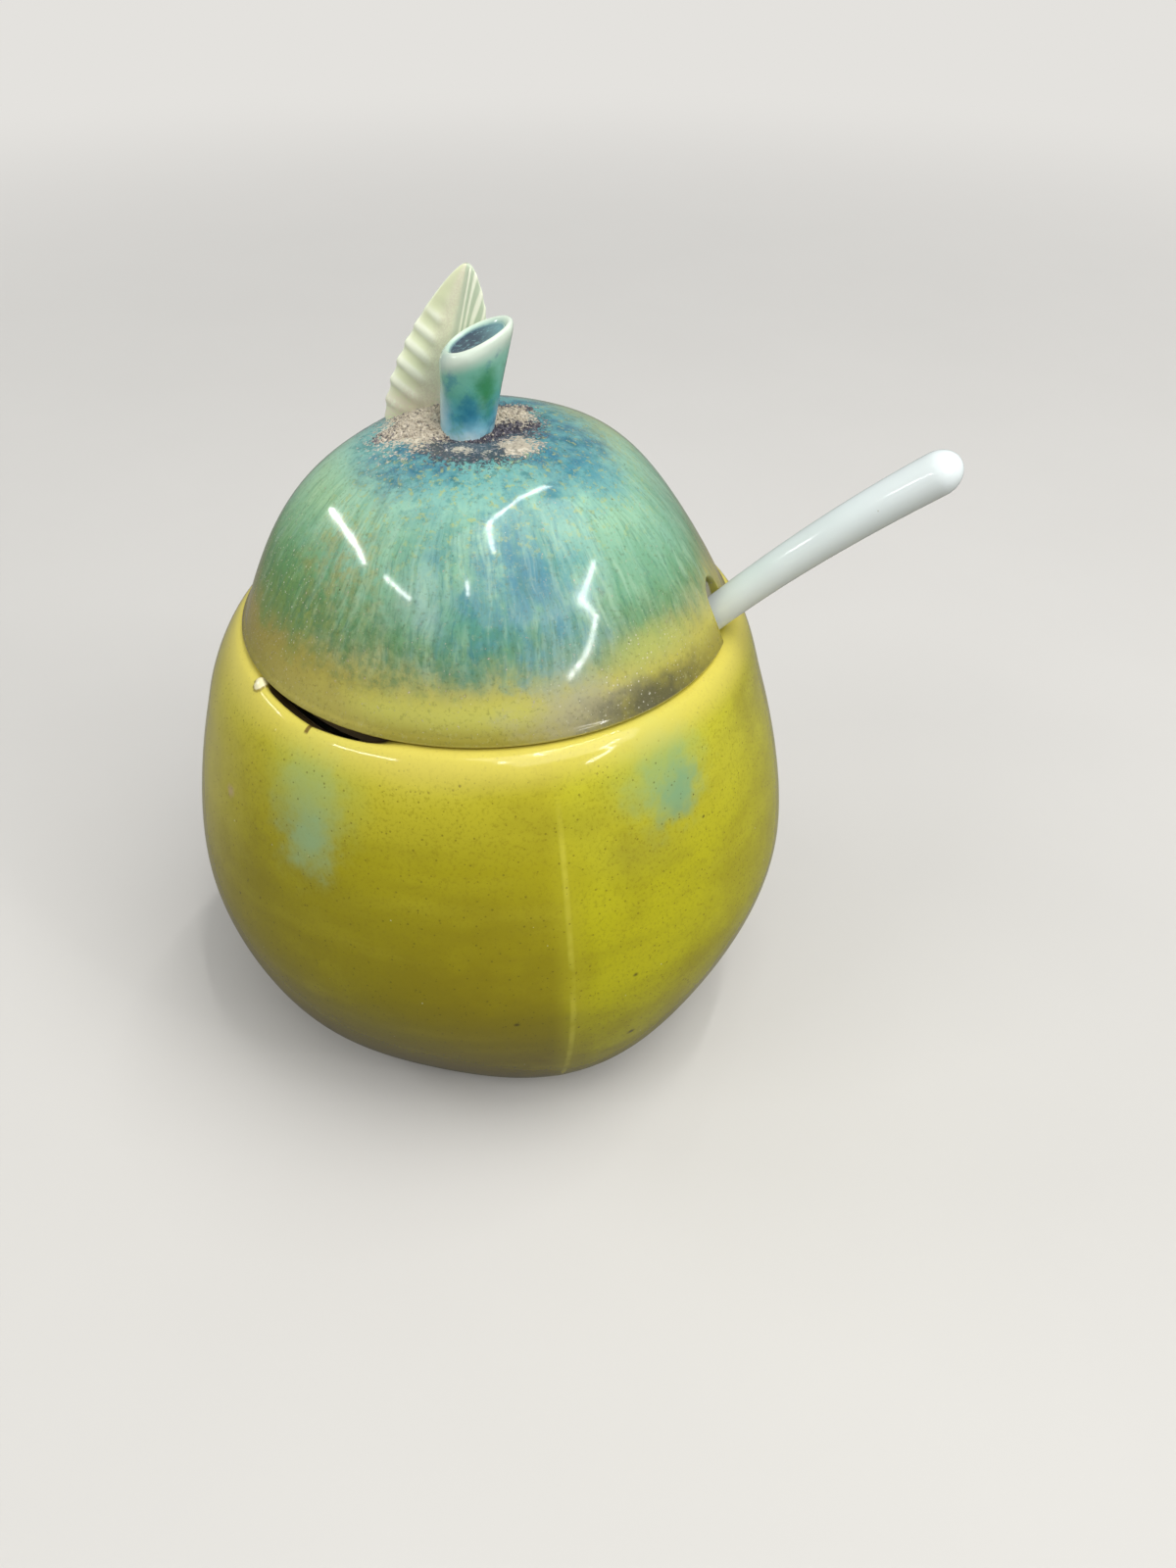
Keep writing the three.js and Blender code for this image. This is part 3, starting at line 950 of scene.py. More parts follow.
def lay_seam_and_highlight(coat):
    azimuth, height, _ = pot_place(coat.tree)
    aside = abs(azimuth - SEAM_TURN)
    low = fade(height, 76, 64)
    coat.lay("#c9c22c", 0.25, fade(aside, 4.0, 0.5) * low)
    # The fine pale line along the seam is partly painted highlight
    coat.lay("#ddd550", 0.4, fade(aside, 0.8, 0.15) * low * mottle(coat.tree, 8.0, 0.3, 0.6))


def lay_rim_marks_and_shade(coat):
    """The nick, the chip and the bead. The chip's dark clay partly paints the shade in the gap under the
    lid, and the bead's brown ring partly paints the shade round its edge.
    """
    azimuth, height, reach = pot_place(coat.tree)
    nick = fade(abs(azimuth - RIM_NICK_TURN), 0.7, 0.3) * window(reach, 38.8, 40.1, 0.2)
    coat.lay("#6b5122", 0.9, nick * fade(height, 70, 72))
    # Dark clay on the chip, darker than the foot's bare clay: it partly paints the shade in the gap under
    # the lid
    coat.lay("#5e4e34", 1.0, fade(attribute(coat.tree, "chip"), 0.12, 0.3))
    bead = attribute(coat.tree, "bead")
    # The bead's brown ring is partly painted shade round its edge
    coat.lay("#8d7a3a", 0.7, fade(bead, 0.0, 0.15))
    coat.lay("#f3ebbe", 0.95, fade(bead, 0.3, 0.55))


def bare_foot(tree):
    """Where the foot was wiped bare of glaze."""
    _, height, reach = pot_place(tree)
    return fade(height, 0.9, 0.3) * fade(reach, FOOT_RADIUS + 2, FOOT_RADIUS)


def bowl_colour(tree):
    _, height, _ = pot_place(tree)
    coat = bowl_ground_with_painted_light(tree)
    lay_seam_and_highlight(coat)
    coat.lay_rows(speckle, BOWL_DOTS)
    coat.lay("#e2d264", 0.7, fade(height, RIM_HEIGHT - 5.5, RIM_HEIGHT - 0.5))
    coat.lay_rows(patch, BOWL_SPOTS)
    lay_rim_marks_and_shade(coat)
    coat.lay(IVORY, 1.0, attribute(tree, "inside"))
    clay = blend(noise(tree, 1.1, 3.0), "#c9b695", "#e0d2b5")
    return blend(bare_foot(tree), coat.colour, clay)


def bowl_dull(tree):
    return bare_foot(tree) * 0.8


LID_TONES = [
    (0.00, "#b3a640"),
    (0.03, "#958b34"),
    (0.09, "#a59c44"),
    (0.17, "#bdb555"),
    (0.24, "#b2ad60"),
    (0.33, "#979f6a"),
    (0.42, "#7b9d6e"),
    (0.52, "#7bab86"),
    (0.66, "#87b799"),
    (0.80, "#9ac6a6"),
    (0.90, "#aad5b5"),
    (1.00, "#7aaea0"),
]
LID_GREEN_BLOTS = [
    ("#948338", 0.7, -145, 85.0, 50, 7.0, 0.7, 0.3),
    ("#669244", 0.7, -144, 91.0, 38, 7.5, 0.8, 0.3),
    ("#8dbb86", 0.55, -150, 98.5, 30, 6.0, 0.8),
    ("#a8cb9c", 0.6, -145, 102.5, 34, 4.5, 0.8),
]
LID_BLUE_BLOTS_AND_SHEEN = [
    ("#3f8680", 0.6, -74, 94.5, 17, 9.0, 1.0, 0.3),
    ("#2f7f98", 0.75, -61, 98.0, 18, 9.0, 1.0, 0.3),
    ("#246f8c", 0.6, -59, 98.5, 11, 5.5, 1.0, 0.2),
    ("#35908e", 0.7, -47, 100.5, 14, 6.0, 1.0, 0.2),
    ("#bcd2d4", 0.32, -91, 96.5, 13, 6.5, 1.0),
    ("#7fa9a8", 0.65, -54, 90.5, 20, 7.0, 0.9),
    ("#4a8a90", 0.55, -90, 102.0, 22, 5.0, 1.2),
    # Partly painted sheen: the pale mint blot high on the right
    ("#a2cdb4", 0.55, -46, 102.5, 22, 4.5, 0.9),
]
LID_EDGE_BLOTS_AND_REFLECTION = [
    ("#c2b764", 0.45, -116, 80.5, 28, 5.0, 0.6),
    ("#aca792", 0.65, -53, 82.0, 20, 5.0, 0.8),
    # Painted reflection: the dark grey blot low on the right of the lid
    ("#565440", 0.85, -36, 80.2, 22, 4.2, 0.7, 0.1),
    ("#b9bd60", 0.7, -33, 86.6, 18, 3.6, 0.6),
]
LID_GRAIN = [
    ("#454a24", 0.3, 0.6, 0.52, 0.7),
    ("#c6c890", 0.2, 0.8, 0.55, 0.75),
]


def lid_ground_and_sheen(tree):
    """The lid's glaze from its yellow edge to its pale green shoulder, with its larger blots, one of them
    partly painted sheen.
    """
    azimuth, height, _ = pot_place(tree)
    runs = streaks(tree, 1.3, 9.0, 1.0, 0.2, 0.8)
    drift = runs * 1.4 + noise(tree, 7.0, 6.0, 0.7) * 7.0 - 4.2
    upper = fade(height, seat_height + 1, seat_height + 9)
    level = drift * upper + height - seat_height
    coat = Coat(tree, ramp(level / LID_RISE, LID_TONES))
    coat.lay("#c9c962", 0.6, window(azimuth, -106, -62, 8) * window(height, 81.3, 84.2, 1.8))
    coat.lay_rows(patch, LID_GREEN_BLOTS)
    coat.lay("#a29e5e", 0.65, patch(tree, -118, 96.0, 24, 7.5, 0.9, 0.3) * mottle(tree, 1.8, 0.36, 0.64))
    coat.lay("#5a8052", 0.65, patch(tree, -104, 90.5, 46, 6.5, 0.9, 0.3) * mottle(tree, 1.4, 0.38, 0.64))
    coat.lay_rows(patch, LID_BLUE_BLOTS_AND_SHEEN)
    coat.lay("#a8d6bb", 0.4, window(azimuth, -118, -58, 10) * window(height, 104.6, 106.2, 0.5))
    return coat


def lay_lid_runs(coat):
    """The runs down the lid's side, each where it is held to."""
    azimuth, height, _ = pot_place(coat.tree)
    side = window(height, 87.5, 104.0, 3.0)
    low = window(height, 86.0, 93.0, 2.5)
    blue = side * window(azimuth, -88, -40, 14)
    for where, code, share, *run in (
        (side, "#4b8a5c", 0.28, 4.0, 14.0, 2.0, 0.45, 0.65),
        (side, "#cfe8c6", 0.24, 2.4, 9.0, 6.0, 0.5, 0.74),
        (low, "#4a7a58", 0.34, 1.6, 6.0, 11.0, 0.46, 0.66),
        (side, "#33685c", 0.3, 0.7, 2.4, 5.0, 0.48, 0.7),
        (blue, "#2b7690", 0.36, 1.2, 3.4, 9.0, 0.5, 0.7),
        (side, "#b4d4b4", 0.22, 1.4, 4.0, 7.0, 0.52, 0.74),
    ):
        coat.lay(code, share, streaks(coat.tree, *run) * where)


def lay_crown(coat):
    """The blue that pooled on the crown, and the flecks below it."""
    tree = coat.tree
    azimuth, height, reach = pot_place(tree)
    crown = fade(reach, 24.0, 15.0)
    pooled = (patch(tree, -126, CROWN_LEVEL, 36, 5.0, 0.9, 0.4)
              | patch(tree, -8, CROWN_LEVEL, 54, 5.0, 0.9, 0.4))
    behind = window(abs(azimuth), 40, 200, 10) * fade(azimuth, -10, 60)
    coat.lay("#569aa2", 0.55, crown)
    coat.lay("#235a80", 0.85, crown * pooled * mottle(tree, 1.8, 0.25, 0.7))
    coat.lay("#2f6f88", 0.7, crown * behind * mottle(tree, 4.0, 0.4, 0.6))
    coat.lay("#2c6c6e", 0.5, crown * mottle(tree, 1.5, 0.5, 0.64))
    coat.lay("#3a8a9e", 0.55, patch(tree, -18, 104.5, 28, 4.0, 0.9))
    coat.lay("#a9b67c", 0.7, patch(tree, 66, 106, 56, 8.0, 0.8, 0.3) * fade(reach, 11, 18))
    flecks = mottle(tree, 0.9, 0.53, 0.65) * fade(height, 94.0, 105.0)
    coat.lay("#b2b869", 0.55, flecks * window(azimuth, -140, 60, 14))


def lay_lid_edge_and_highlight(coat):
    """The lid's edge: its blots, one of them a painted reflection, and its pale line, thin glaze
    brightened as painted highlight; and the grain, dots and dust over all of its glaze.
    """
    tree = coat.tree
    _, height, _ = pot_place(tree)
    coat.lay_rows(patch, LID_EDGE_BLOTS_AND_REFLECTION)
    # Pale line along the lid's lower edge: thin glaze, brightened as painted highlight
    coat.lay("#d6ca6c", 0.8, fade(height, seat_height + 0.8, seat_height + 0.3))
    coat.lay_rows(mottle, LID_GRAIN)
    coat.lay("#38402a", 0.7, speckle(tree, 2.6, 0.3, 0.26))
    dusty = patch(tree, -145, 89, 44, 14, 0.6) | patch(tree, -40, 84, 26, 10, 0.6)
    coat.lay("#dcd8c2", 0.7, speckle(tree, 0.45, 0.5, 0.18) * dusty)
    coat.lay("#e8e4d0", 0.6, speckle(tree, 1.8, 0.3, 0.14))


def lay_dust(coat):
    """The dry dust on the crown."""
    tree = coat.tree
    pale, dark = crown_dust(tree)
    coat.lay("#403e49", 0.9, dark)
    coat.lay("#8f898c", 0.8, dark * mottle(tree, 0.6, 0.54, 0.62))
    coat.lay("#c6baa4", 0.9, pale)
    coat.lay("#6a6460", 0.6, pale * mottle(tree, 0.5, 0.52, 0.62))
    coat.lay("#e6dcc8", 0.7, pale * mottle(tree, 0.9, 0.5, 0.62))


def lid_colour(tree):
    _, height, _ = pot_place(tree)
    coat = lid_ground_and_sheen(tree)
    lay_lid_runs(coat)
    lay_crown(coat)
    lay_lid_edge_and_highlight(coat)
    lay_dust(coat)
    flange = fade(height, seat_height + 2, seat_height - 1)
    lining = blend(flange, IVORY, "#74654a")
    return blend(attribute(tree, "inside"), coat.colour, lining)


def grit_colour(tree):
    """Dark and pale dry grit."""
    coat = Coat(tree, blend(noise(tree, 0.5, 3.0, 0.7), "#3c3943", "#858086"))
    lay_dust(coat)
    shade = attribute(tree, "shade")
    coat.lay("#d8cdb8", 0.55, fade(shade, 0.7, 0.8))
    coat.lay("#3a373e", 0.6, fade(shade, 0.2, 0.1) * attribute(tree, "grain"))
    return coat.colour


# The stem's glaze by height; the palest tones at its foot are partly painted reflection
STEM_TONES_AND_REFLECTION = [
    (0.00, "#cfe8ee"),
    (0.12, "#8ccbde"),
    (0.28, "#52a8c0"),
    (0.50, "#66b4a0"),
    (0.75, "#86c8b0"),
    (1.00, "#a2d2be"),
]
STEM_CLOUDS = [
    ("#5c9f6c", 0.5, 5.0, 0.5, 0.66),
    ("#2c7c9e", 0.5, 3.0, 0.53, 0.68),
]
STEM_BLOTS_AND_REFLECTION = [
    ("#1d6c8c", 0.75, -88, 111.6, 26, 3.6, 0.9),
    ("#348546", 0.8, -56, 114.0, 30, 5.5, 0.8),
    # Painted reflection: the pale blot on the stem's left side
    ("#dcefee", 0.6, -152, 111.5, 34, 6.0, 0.6),
]


def stem_colour(tree):
    _, height, _ = pot_place(tree)
    drift = (noise(tree, 6.0, 3.0, 0.6) - 0.5) * 5.0
    coat = Coat(tree, ramp((height + drift - top_height) / STEM_HEIGHT, STEM_TONES_AND_REFLECTION))
    coat.lay_rows(mottle, STEM_CLOUDS)
    coat.lay_rows(patch, STEM_BLOTS_AND_REFLECTION)
    lip = attribute(tree, "lip")
    coat.lay("#e8f1df", 0.9, lip)
    coat.lay("#8fb2a8", 0.55, lip * patch(tree, -165, 120.0, 55, 12.0, 0.5))
    cut = attribute(tree, "cut")
    coat.lay("#7aa6aa", 1.0, cut)
    dry = cut * fade(height, top_height + 15.3, top_height + 12.8)
    coat.lay("#303a50", 0.92, dry * mottle(tree, 0.7, 0.27, 0.5))
    return coat.colour


def stem_dull(tree):
    return attribute(tree, "cut") * 0.5


def leaf_colour(tree):
    _, height, _ = pot_place(tree)
    wash = noise(tree, 4.0, 4.0, 0.6)
    coat = Coat(tree, blend(wash, "#e0e6b6", "#fafddc"))
    coat.lay("#c9cba2", 0.5, fade(height, top_height + 9, top_height + 20))
    ridge = attribute(tree, "rib")
    right = attribute(tree, "right")
    coat.lay("#f8fbe2", 0.7, right)
    coat.lay("#93ae8e", 0.55, right * fade(ridge, 0.5, 0.1))
    coat.lay("#fafce4", 0.95, fade(ridge, 0.12, 0.75))
    coat.lay("#f2f6dc", 0.7, attribute(tree, "edge"))
    dusty = fade(wash * 6.0 + height, top_height + 9, top_height + 4)
    coat.lay("#f0e8d0", 0.8, dusty * mottle(tree, 0.5, 0.36, 0.54))
    fold = attribute(tree, "fold")
    coat.lay("#f6f0d8", 0.6, fold)
    coat.lay("#d8ccb2", 0.35, fold * mottle(tree, 0.3, 0.4, 0.6))
    return coat.colour


def spoon_colour(tree):
    coat = Coat(tree, blend(noise(tree, 16.0, 3.0), "#e6efed", "#f2f7f5"))
    coat.lay("#a9a488", 0.5, speckle(tree, 3.0, 0.25, 0.2))
    return coat.colour


# Bowl

def bowl_profile():
    """The bowl's section from the middle of its underside to the middle of its floor, and how far
    each point is inside: 0 outside, 1 inside."""
    foot = np.array([FOOT_RADIUS, 0.0])
    belly = np.array([BOWL_RADIUS, BELLY_HEIGHT])
    over = arc(rim_centre, rim_round, RIM_TURN, RIM_TURN + 180, RIM_STEPS)
    rise = RIM_HEIGHT - BELLY_HEIGHT
    lower = bezier(
        foot,
        foot + [FOOT_FULLNESS * (BOWL_RADIUS - FOOT_RADIUS), 0],
        belly - [0, BELLY_FULLNESS * BELLY_HEIGHT],
        belly, CURVE_STEPS)
    turn = math.radians(RIM_TURN)
    upper = bezier(
        belly,
        belly + [0, SHOULDER_FULLNESS * rise],
        over[0] + RIM_FULLNESS * rise * np.array([math.sin(turn), -math.cos(turn)]),
        over[0], 2 * CURVE_STEPS)
    ring = FOOT_RADIUS - FOOT_RING
    under = [[0, FOOT_DISH], [ring, FOOT_DISH], [ring + FOOT_BEVEL, 0]]
    outline = spread(np.vstack((under, lower[0], upper[0], over)), PROFILE_STEP)
    inside = np.vstack((beside(*lower, BOWL_WALL), beside(*upper, BOWL_WALL)))[::-LINING_STRIDE]
    lining = spread(np.vstack((over[-1:], inside, [[0, BOWL_WALL]])), LINING_STEP)[1:]
    inward = np.concatenate((np.zeros(len(outline)), np.ones(len(lining))))
    crest = len(outline) - len(over)
    inward[crest:len(outline)] = smooth(*RIM_LINED, np.arange(len(over)))
    return np.vstack((outline, lining)), inward


def seam_relief(angle, radius, height):
    """How far the two seams of the mould stand out, with a bump on the one in front."""
    relief = 0
    for seam in (SEAM_TURN, SEAM_TURN + 180):
        aside = np.radians(turn_apart(angle, seam)) * radius
        tall = smooth(*SEAM_RISE, height) * below_rim(SEAM_DROP, height)
        bump = 1 + SEAM_BUMP * bell(height - SEAM_BUMP_AT, SEAM_BUMP_WIDTH) * (seam == SEAM_TURN)
        relief = relief + tall * SEAM_HEIGHT * bell(aside, SEAM_WIDTH) * bump
    return relief


def make_bowl(tree):
    material = glazed("bowl_glaze", bowl_colour, dull_of=bowl_dull)
    profile, inward = bowl_profile()
    lobe = (BOWL_LOBE, BOWL_LOBE_TURN, 0.0, RIM_HEIGHT, BOWL_LOBE_RISE, BOWL_LOBE_FALL)
    crowding = (BOWL_CROWDING, RIM_DIP_TURN)
    mesh = turned_shell(tree, "bowl_body", profile, inward, lobe, crowding, material)
    points = points_of(mesh)
    radius = np.hypot(points[:, 0], points[:, 1])
    angle = np.degrees(np.arctan2(points[:, 1], points[:, 0]))
    height = points[:, 2].copy()
    outside = 1 - values_of(mesh, "inside")

    lean = BOWL_LEAN * np.cos(np.radians(angle - BOWL_LEAN_TURN))
    lean = lean * smooth(*BOWL_LEAN_RISE, height) * below_rim(BOWL_LEAN_DROP, height)
    grow = lean + outside * seam_relief(angle, radius, height)
    roll = SHOULDER_ROLL * bell(radius - SHOULDER_ROLL_RADIUS, SHOULDER_ROLL_WIDTH)
    roll = SHOULDER_ROLL_SLANT * roll * outside * below_rim(SHOULDER_ROLL_DROP, height)

    apart = turn_apart(angle, RIM_DIP_TURN)
    sunk = np.clip(1 - np.abs(apart) / np.where(apart < 0, RIM_DIP_LEFT, RIM_DIP_RIGHT), 0, 1)
    dip = RIM_DIP * sunk * below_rim(RIM_DIP_DROP, height)
    broken = smooth(0, np.where(apart < 0, RIM_CHIP_LEFT, RIM_CHIP_RIGHT), sunk)
    inner = smooth(*RIM_CHIP_EDGE, radius - RIM_RADIUS)
    chip = broken * inner * below_rim(RIM_CHIP_DROP, height)
    store_values(mesh, "chip", chip)
    aside = np.radians(turn_apart(angle, RIM_BEAD_TURN)) * radius
    bead = np.hypot(aside, radius - RIM_RADIUS - RIM_BEAD_OUT) / RIM_BEAD
    bead = np.sqrt(np.maximum(1 - bead**2, 0)) * (height > RIM_HEIGHT - RIM_BEAD_DROP)
    store_values(mesh, "bead", bead)

    scale = (radius + grow + roll + RIM_DIP_SPREAD * dip) / np.maximum(radius, 1e-6)
    points[:, :2] *= scale[:, None]
    points[:, 2] += roll + RIM_BEAD_HEIGHT * bead - dip - RIM_CHIP * chip
    move_points(mesh, points)
    mesh_piece("bowl_body", mesh, "bowl", "bowl")


# Lid

def lid_curves():
    run = lid_radius - PLATEAU_RADIUS
    plateau = np.array([PLATEAU_RADIUS, plateau_height])
    inward = np.array([-LID_TOP_FULLNESS * run, LID_TOP_FALL * LID_RISE])
    side = bezier(
        np.array([lid_radius, seat_height]),
        np.array([lid_radius - LID_SIDE_LEAN * run, seat_height + LID_SIDE_FULLNESS * LID_RISE]),
        plateau - inward, plateau, CURVE_STEPS)
    crown = bezier(
        plateau, plateau + CROWN_FULLNESS * inward,
        np.array([CROWN_FLAT * PLATEAU_RADIUS, top_height]),
        np.array([0.0, top_height]), CURVE_STEPS // 2)
    return side, crown


def lid_profile():
    """The lid's section from the middle of its ceiling, down round the flange, to its top, and how
    far each point is inside: 0 outside, 1 inside."""
    side, crown = lid_curves()
    edge_centre = np.array([lid_radius - LID_EDGE_ROUND, seat_height + LID_EDGE_ROUND])
    outside = np.vstack((side[0], crown[0][1:]))
    outside = outside[outside[:, 1] > edge_centre[1]]
    inside = np.vstack((beside(*side, LID_WALL), beside(*crown, LID_WALL)[1:]))
    inside = inside[(inside[:, 0] < flange_bore) & (inside[:, 1] > seat_height)][::-1]
    foot = seat_height - FLANGE_DEPTH + FLANGE_ROUND
    flange = np.vstack((
        arc(np.array([flange_bore + FLANGE_ROUND, foot]), FLANGE_ROUND, 180, 270, ROUND_STEPS),
        arc(np.array([flange_radius - FLANGE_ROUND, foot]), FLANGE_ROUND, 270, 360, ROUND_STEPS),
        [[flange_radius, seat_height]],
    ))
    edge = arc(edge_centre, LID_EDGE_ROUND, -90, 0, ROUND_STEPS)
    knee = [[flange_bore, inside[-1][1] - LID_KNEE]]
    lining = spread(np.vstack((inside, knee, flange)), PROFILE_STEP)
    skin = spread(np.vstack((flange[-1:], edge, outside)), PROFILE_STEP)[1:]
    inward = np.concatenate((np.ones(len(lining)), np.zeros(len(skin))))
    return np.vstack((lining, skin)), inward


def lid_top_at(radius):
    side, crown = lid_curves()
    line = np.vstack((side[0], crown[0][1:]))[::-1]
    return np.interp(radius, line[:, 0], line[:, 1])


def spoon_bend():
    """The tip of the spoon, and the middle of the circle that its middle line follows, each as
    distance and height."""
    tip = np.array([-SCOOP_TIP_REACH, BOWL_WALL + SEAT_GAP])
    rim_reach = SPOON_BEND_RADIUS - rim_round - SEAT_GAP - HANDLE_THICKNESS / 2
    line = rim_centre - tip
    apart = np.linalg.norm(line)
    line = line / apart
    along = (apart**2 + SPOON_BEND_RADIUS**2 - rim_reach**2) / (2 * apart)
    aside = math.sqrt(SPOON_BEND_RADIUS**2 - along**2)
    return tip, tip + along * line + aside * np.array([line[1], -line[0]])


def notch_crown():
    """The height of the notch's arch."""
    _, bend = spoon_bend()
    slope = math.asin((bend[0] - lid_radius + LID_WALL / 2) / SPOON_BEND_RADIUS)
    handle = bend[1] + SPOON_BEND_RADIUS * math.cos(slope)
    return handle + HANDLE_THICKNESS / 2 / math.cos(slope) + NOTCH_CLEARANCE


def open_notch(points, along, profile):
    """Lifts the lid's edge into the arch that the spoon's handle leaves through."""
    half = HANDLE_WIDTH / 2 + NOTCH_CLEARANCE
    crown = notch_crown()
    ceiling = crown + 2 * NOTCH_EDGE
    turning = int(np.argmin(profile[:, 1]))
    first = int(np.argmax(profile[:turning, 1] < ceiling))
    last = turning + int(np.argmax(profile[turning:, 1] > ceiling))
    wall_in = profile[first - 1:turning][::-1]
    wall_out = profile[turning:last + 1]
    angle = np.arctan2(points[:, 1], points[:, 0])
    across = np.abs(lid_radius * np.sin(angle))
    near = (points[:, 0] > 0) & (across < half + NOTCH_EDGE) & (along >= first) & (along <= last)
    for i in np.flatnonzero(near):
        held = min(across[i], half)
        edge = crown - half + math.sqrt(half**2 - held**2) + NOTCH_EDGE
        inner = np.interp(edge, wall_in[:, 1], wall_in[:, 0])
        outer = np.interp(edge, wall_out[:, 1], wall_out[:, 0])
        corner_in = arc(np.array([inner + NOTCH_EDGE, edge]), NOTCH_EDGE, 180, 270, NOTCH_STEPS)
        corner_out = arc(np.array([outer - NOTCH_EDGE, edge]), NOTCH_EDGE, 270, 360, NOTCH_STEPS)
        path = np.vstack(([profile[first]], corner_in, corner_out, [profile[last]]))
        steps = np.concatenate(([0], np.cumsum(np.linalg.norm(np.diff(path, axis=0), axis=1))))
        share = (along[i] - first) / (last - first) * steps[-1]
        target = np.array([np.interp(share, steps, path[:, k]) for k in (0, 1)])
        shown = profile[int(round(along[i]))]
        weight = float(smooth(half + NOTCH_EDGE, half - NOTCH_EDGE, across[i]))
        out, up = weight * (target - shown)
        points[i] += [out * math.cos(angle[i]), out * math.sin(angle[i]), up]
    return points


def make_lid(tree):
    material = glazed("lid_glaze", lid_colour)
    profile, inward = lid_profile()
    lobe = (LID_LOBE, LID_LOBE_TURN, seat_height, plateau_height, LID_LOBE_RISE, LID_LOBE_FALL)
    mesh = turned_shell(tree, "lid_body", profile, inward, lobe, (LID_CROWDING, 0.0), material)
    move_points(mesh, open_notch(points_of(mesh), values_of(mesh, "along"), profile))
    mesh_piece("lid_body", mesh, "lid", "lid")


# Spoon

def round_off(distance, radius):
    """Shrinks a section towards its end as a quarter circle does."""
    inside = np.minimum(distance / radius, 1) - 1
    return np.sqrt(np.maximum(1 - inside * inside, 0))


def spoon_sections(distance, length):
    """Half width, half thickness and hollow of the spoon at distances from its tip."""
    share = np.clip(distance / SCOOP_LENGTH, 0, 1)
    grown = 1 + (HANDLE_END_SWELL - 1) * smooth(length - HANDLE_REACH, length, distance)
    handle = HANDLE_WIDTH / 2 * grown
    thick = HANDLE_THICKNESS / 2 * grown
    widest = SCOOP_WIDTH / 2
    front = widest * np.sqrt(1 - (1 - 2 * share) ** 2)
    back = handle + (widest - handle) * (0.5 - 0.5 * np.cos(math.tau * share))
    neck = smooth(SCOOP_LENGTH - SCOOP_NECK, SCOOP_LENGTH, distance)
    end = round_off(length - distance, handle)
    half = np.where(share < 0.5, front, back) * end
    body = mix(SCOOP_WALL / 2, thick, neck) * round_off(distance, SCOOP_TIP_ROUND) * end
    return half, body, SCOOP_DEPTH * np.sin(math.pi * share)


def make_spoon():
    tip, bend = spoon_bend()
    tip_slope = math.atan2(bend[0] - tip[0], tip[1] - bend[1])
    rim_slope = math.atan2(bend[0] - rim_centre[0], rim_centre[1] - bend[1])
    length = SPOON_BEND_RADIUS * (tip_slope - rim_slope) + HANDLE_REACH
    cap = 1 - np.cos(np.linspace(SPOON_END_START, 1, SPOON_END_STEPS)[:-1] * math.pi / 2)
    end = HANDLE_WIDTH / 2 * HANDLE_END_SWELL
    distance = np.concatenate((
        cap * SCOOP_TIP_ROUND,
        np.arange(SCOOP_TIP_ROUND, length - end, SPOON_STEP),
        length - cap[::-1] * end,
    ))
    half, body, hollow = spoon_sections(distance, length)
    slope = tip_slope - distance / SPOON_BEND_RADIUS
    up = np.column_stack((-np.sin(slope), np.zeros(len(slope)), np.cos(slope)))
    middle = np.array([bend[0], 0, bend[1]]) + SPOON_BEND_RADIUS * up
    ring = circle(SPOON_TURN_STEPS)
    rise = body[:, None] * np.sin(ring) - hollow[:, None] * np.sin(ring) ** 2
    rings = middle[:, None, :] + up[:, None, :] * rise[..., None]
    rings[..., 1] += half[:, None] * np.cos(ring)
    mesh = loft_mesh("spoon_body", rings, glazed("spoon_glaze", spoon_colour, gloss=0.08, wave=14.0))
    mesh_piece("spoon_body", mesh, "spoon", "spoon")


# Stem

def turned_to_face(points):
    """Points turned from the ornaments' own direction into the frame."""
    turn = math.radians(ORNAMENT_TURN)
    across, back = points[..., 0].copy(), points[..., 1].copy()
    points[..., 0] = across * math.cos(turn) - back * math.sin(turn)
    points[..., 1] = across * math.sin(turn) + back * math.cos(turn)
    return points


def stem_rows():
    """The stem's rings from its root to the middle of its cut: the share of its height, how far the
    ring is drawn in, how far it drops, and how far it is in the cut."""
    side_end = 1 - STEM_ROLL / (STEM_HEIGHT + ORNAMENT_ROOT)
    rows = [(share, 0.0, 0.0, 0.0) for share in np.linspace(0, side_end, STEM_SIDE_STEPS)]
    for turn in np.linspace(0, math.pi / 2, STEM_LIP_STEPS)[1:]:
        rows.append((mix(side_end, 1, math.sin(turn)), STEM_LIP * (1 - math.cos(turn)), 0.0, 0.0))
    for share in np.linspace(0, 1, STEM_LIP_STEPS)[1:]:
        rows.append((1.0, mix(STEM_LIP, STEM_LIP_WIDTH, share), STEM_DISH * smooth(0, 1, share), share))
    for share in np.linspace(0, 1, STEM_FLOOR_STEPS)[1:]:
        drawn_in = mix(STEM_LIP_WIDTH, STEM_TOP_RADIUS - STEM_EYE, share)
        rows.append((1.0, drawn_in, STEM_DISH * (1 + STEM_DISH_SAG * share), 1.0))
    return rows


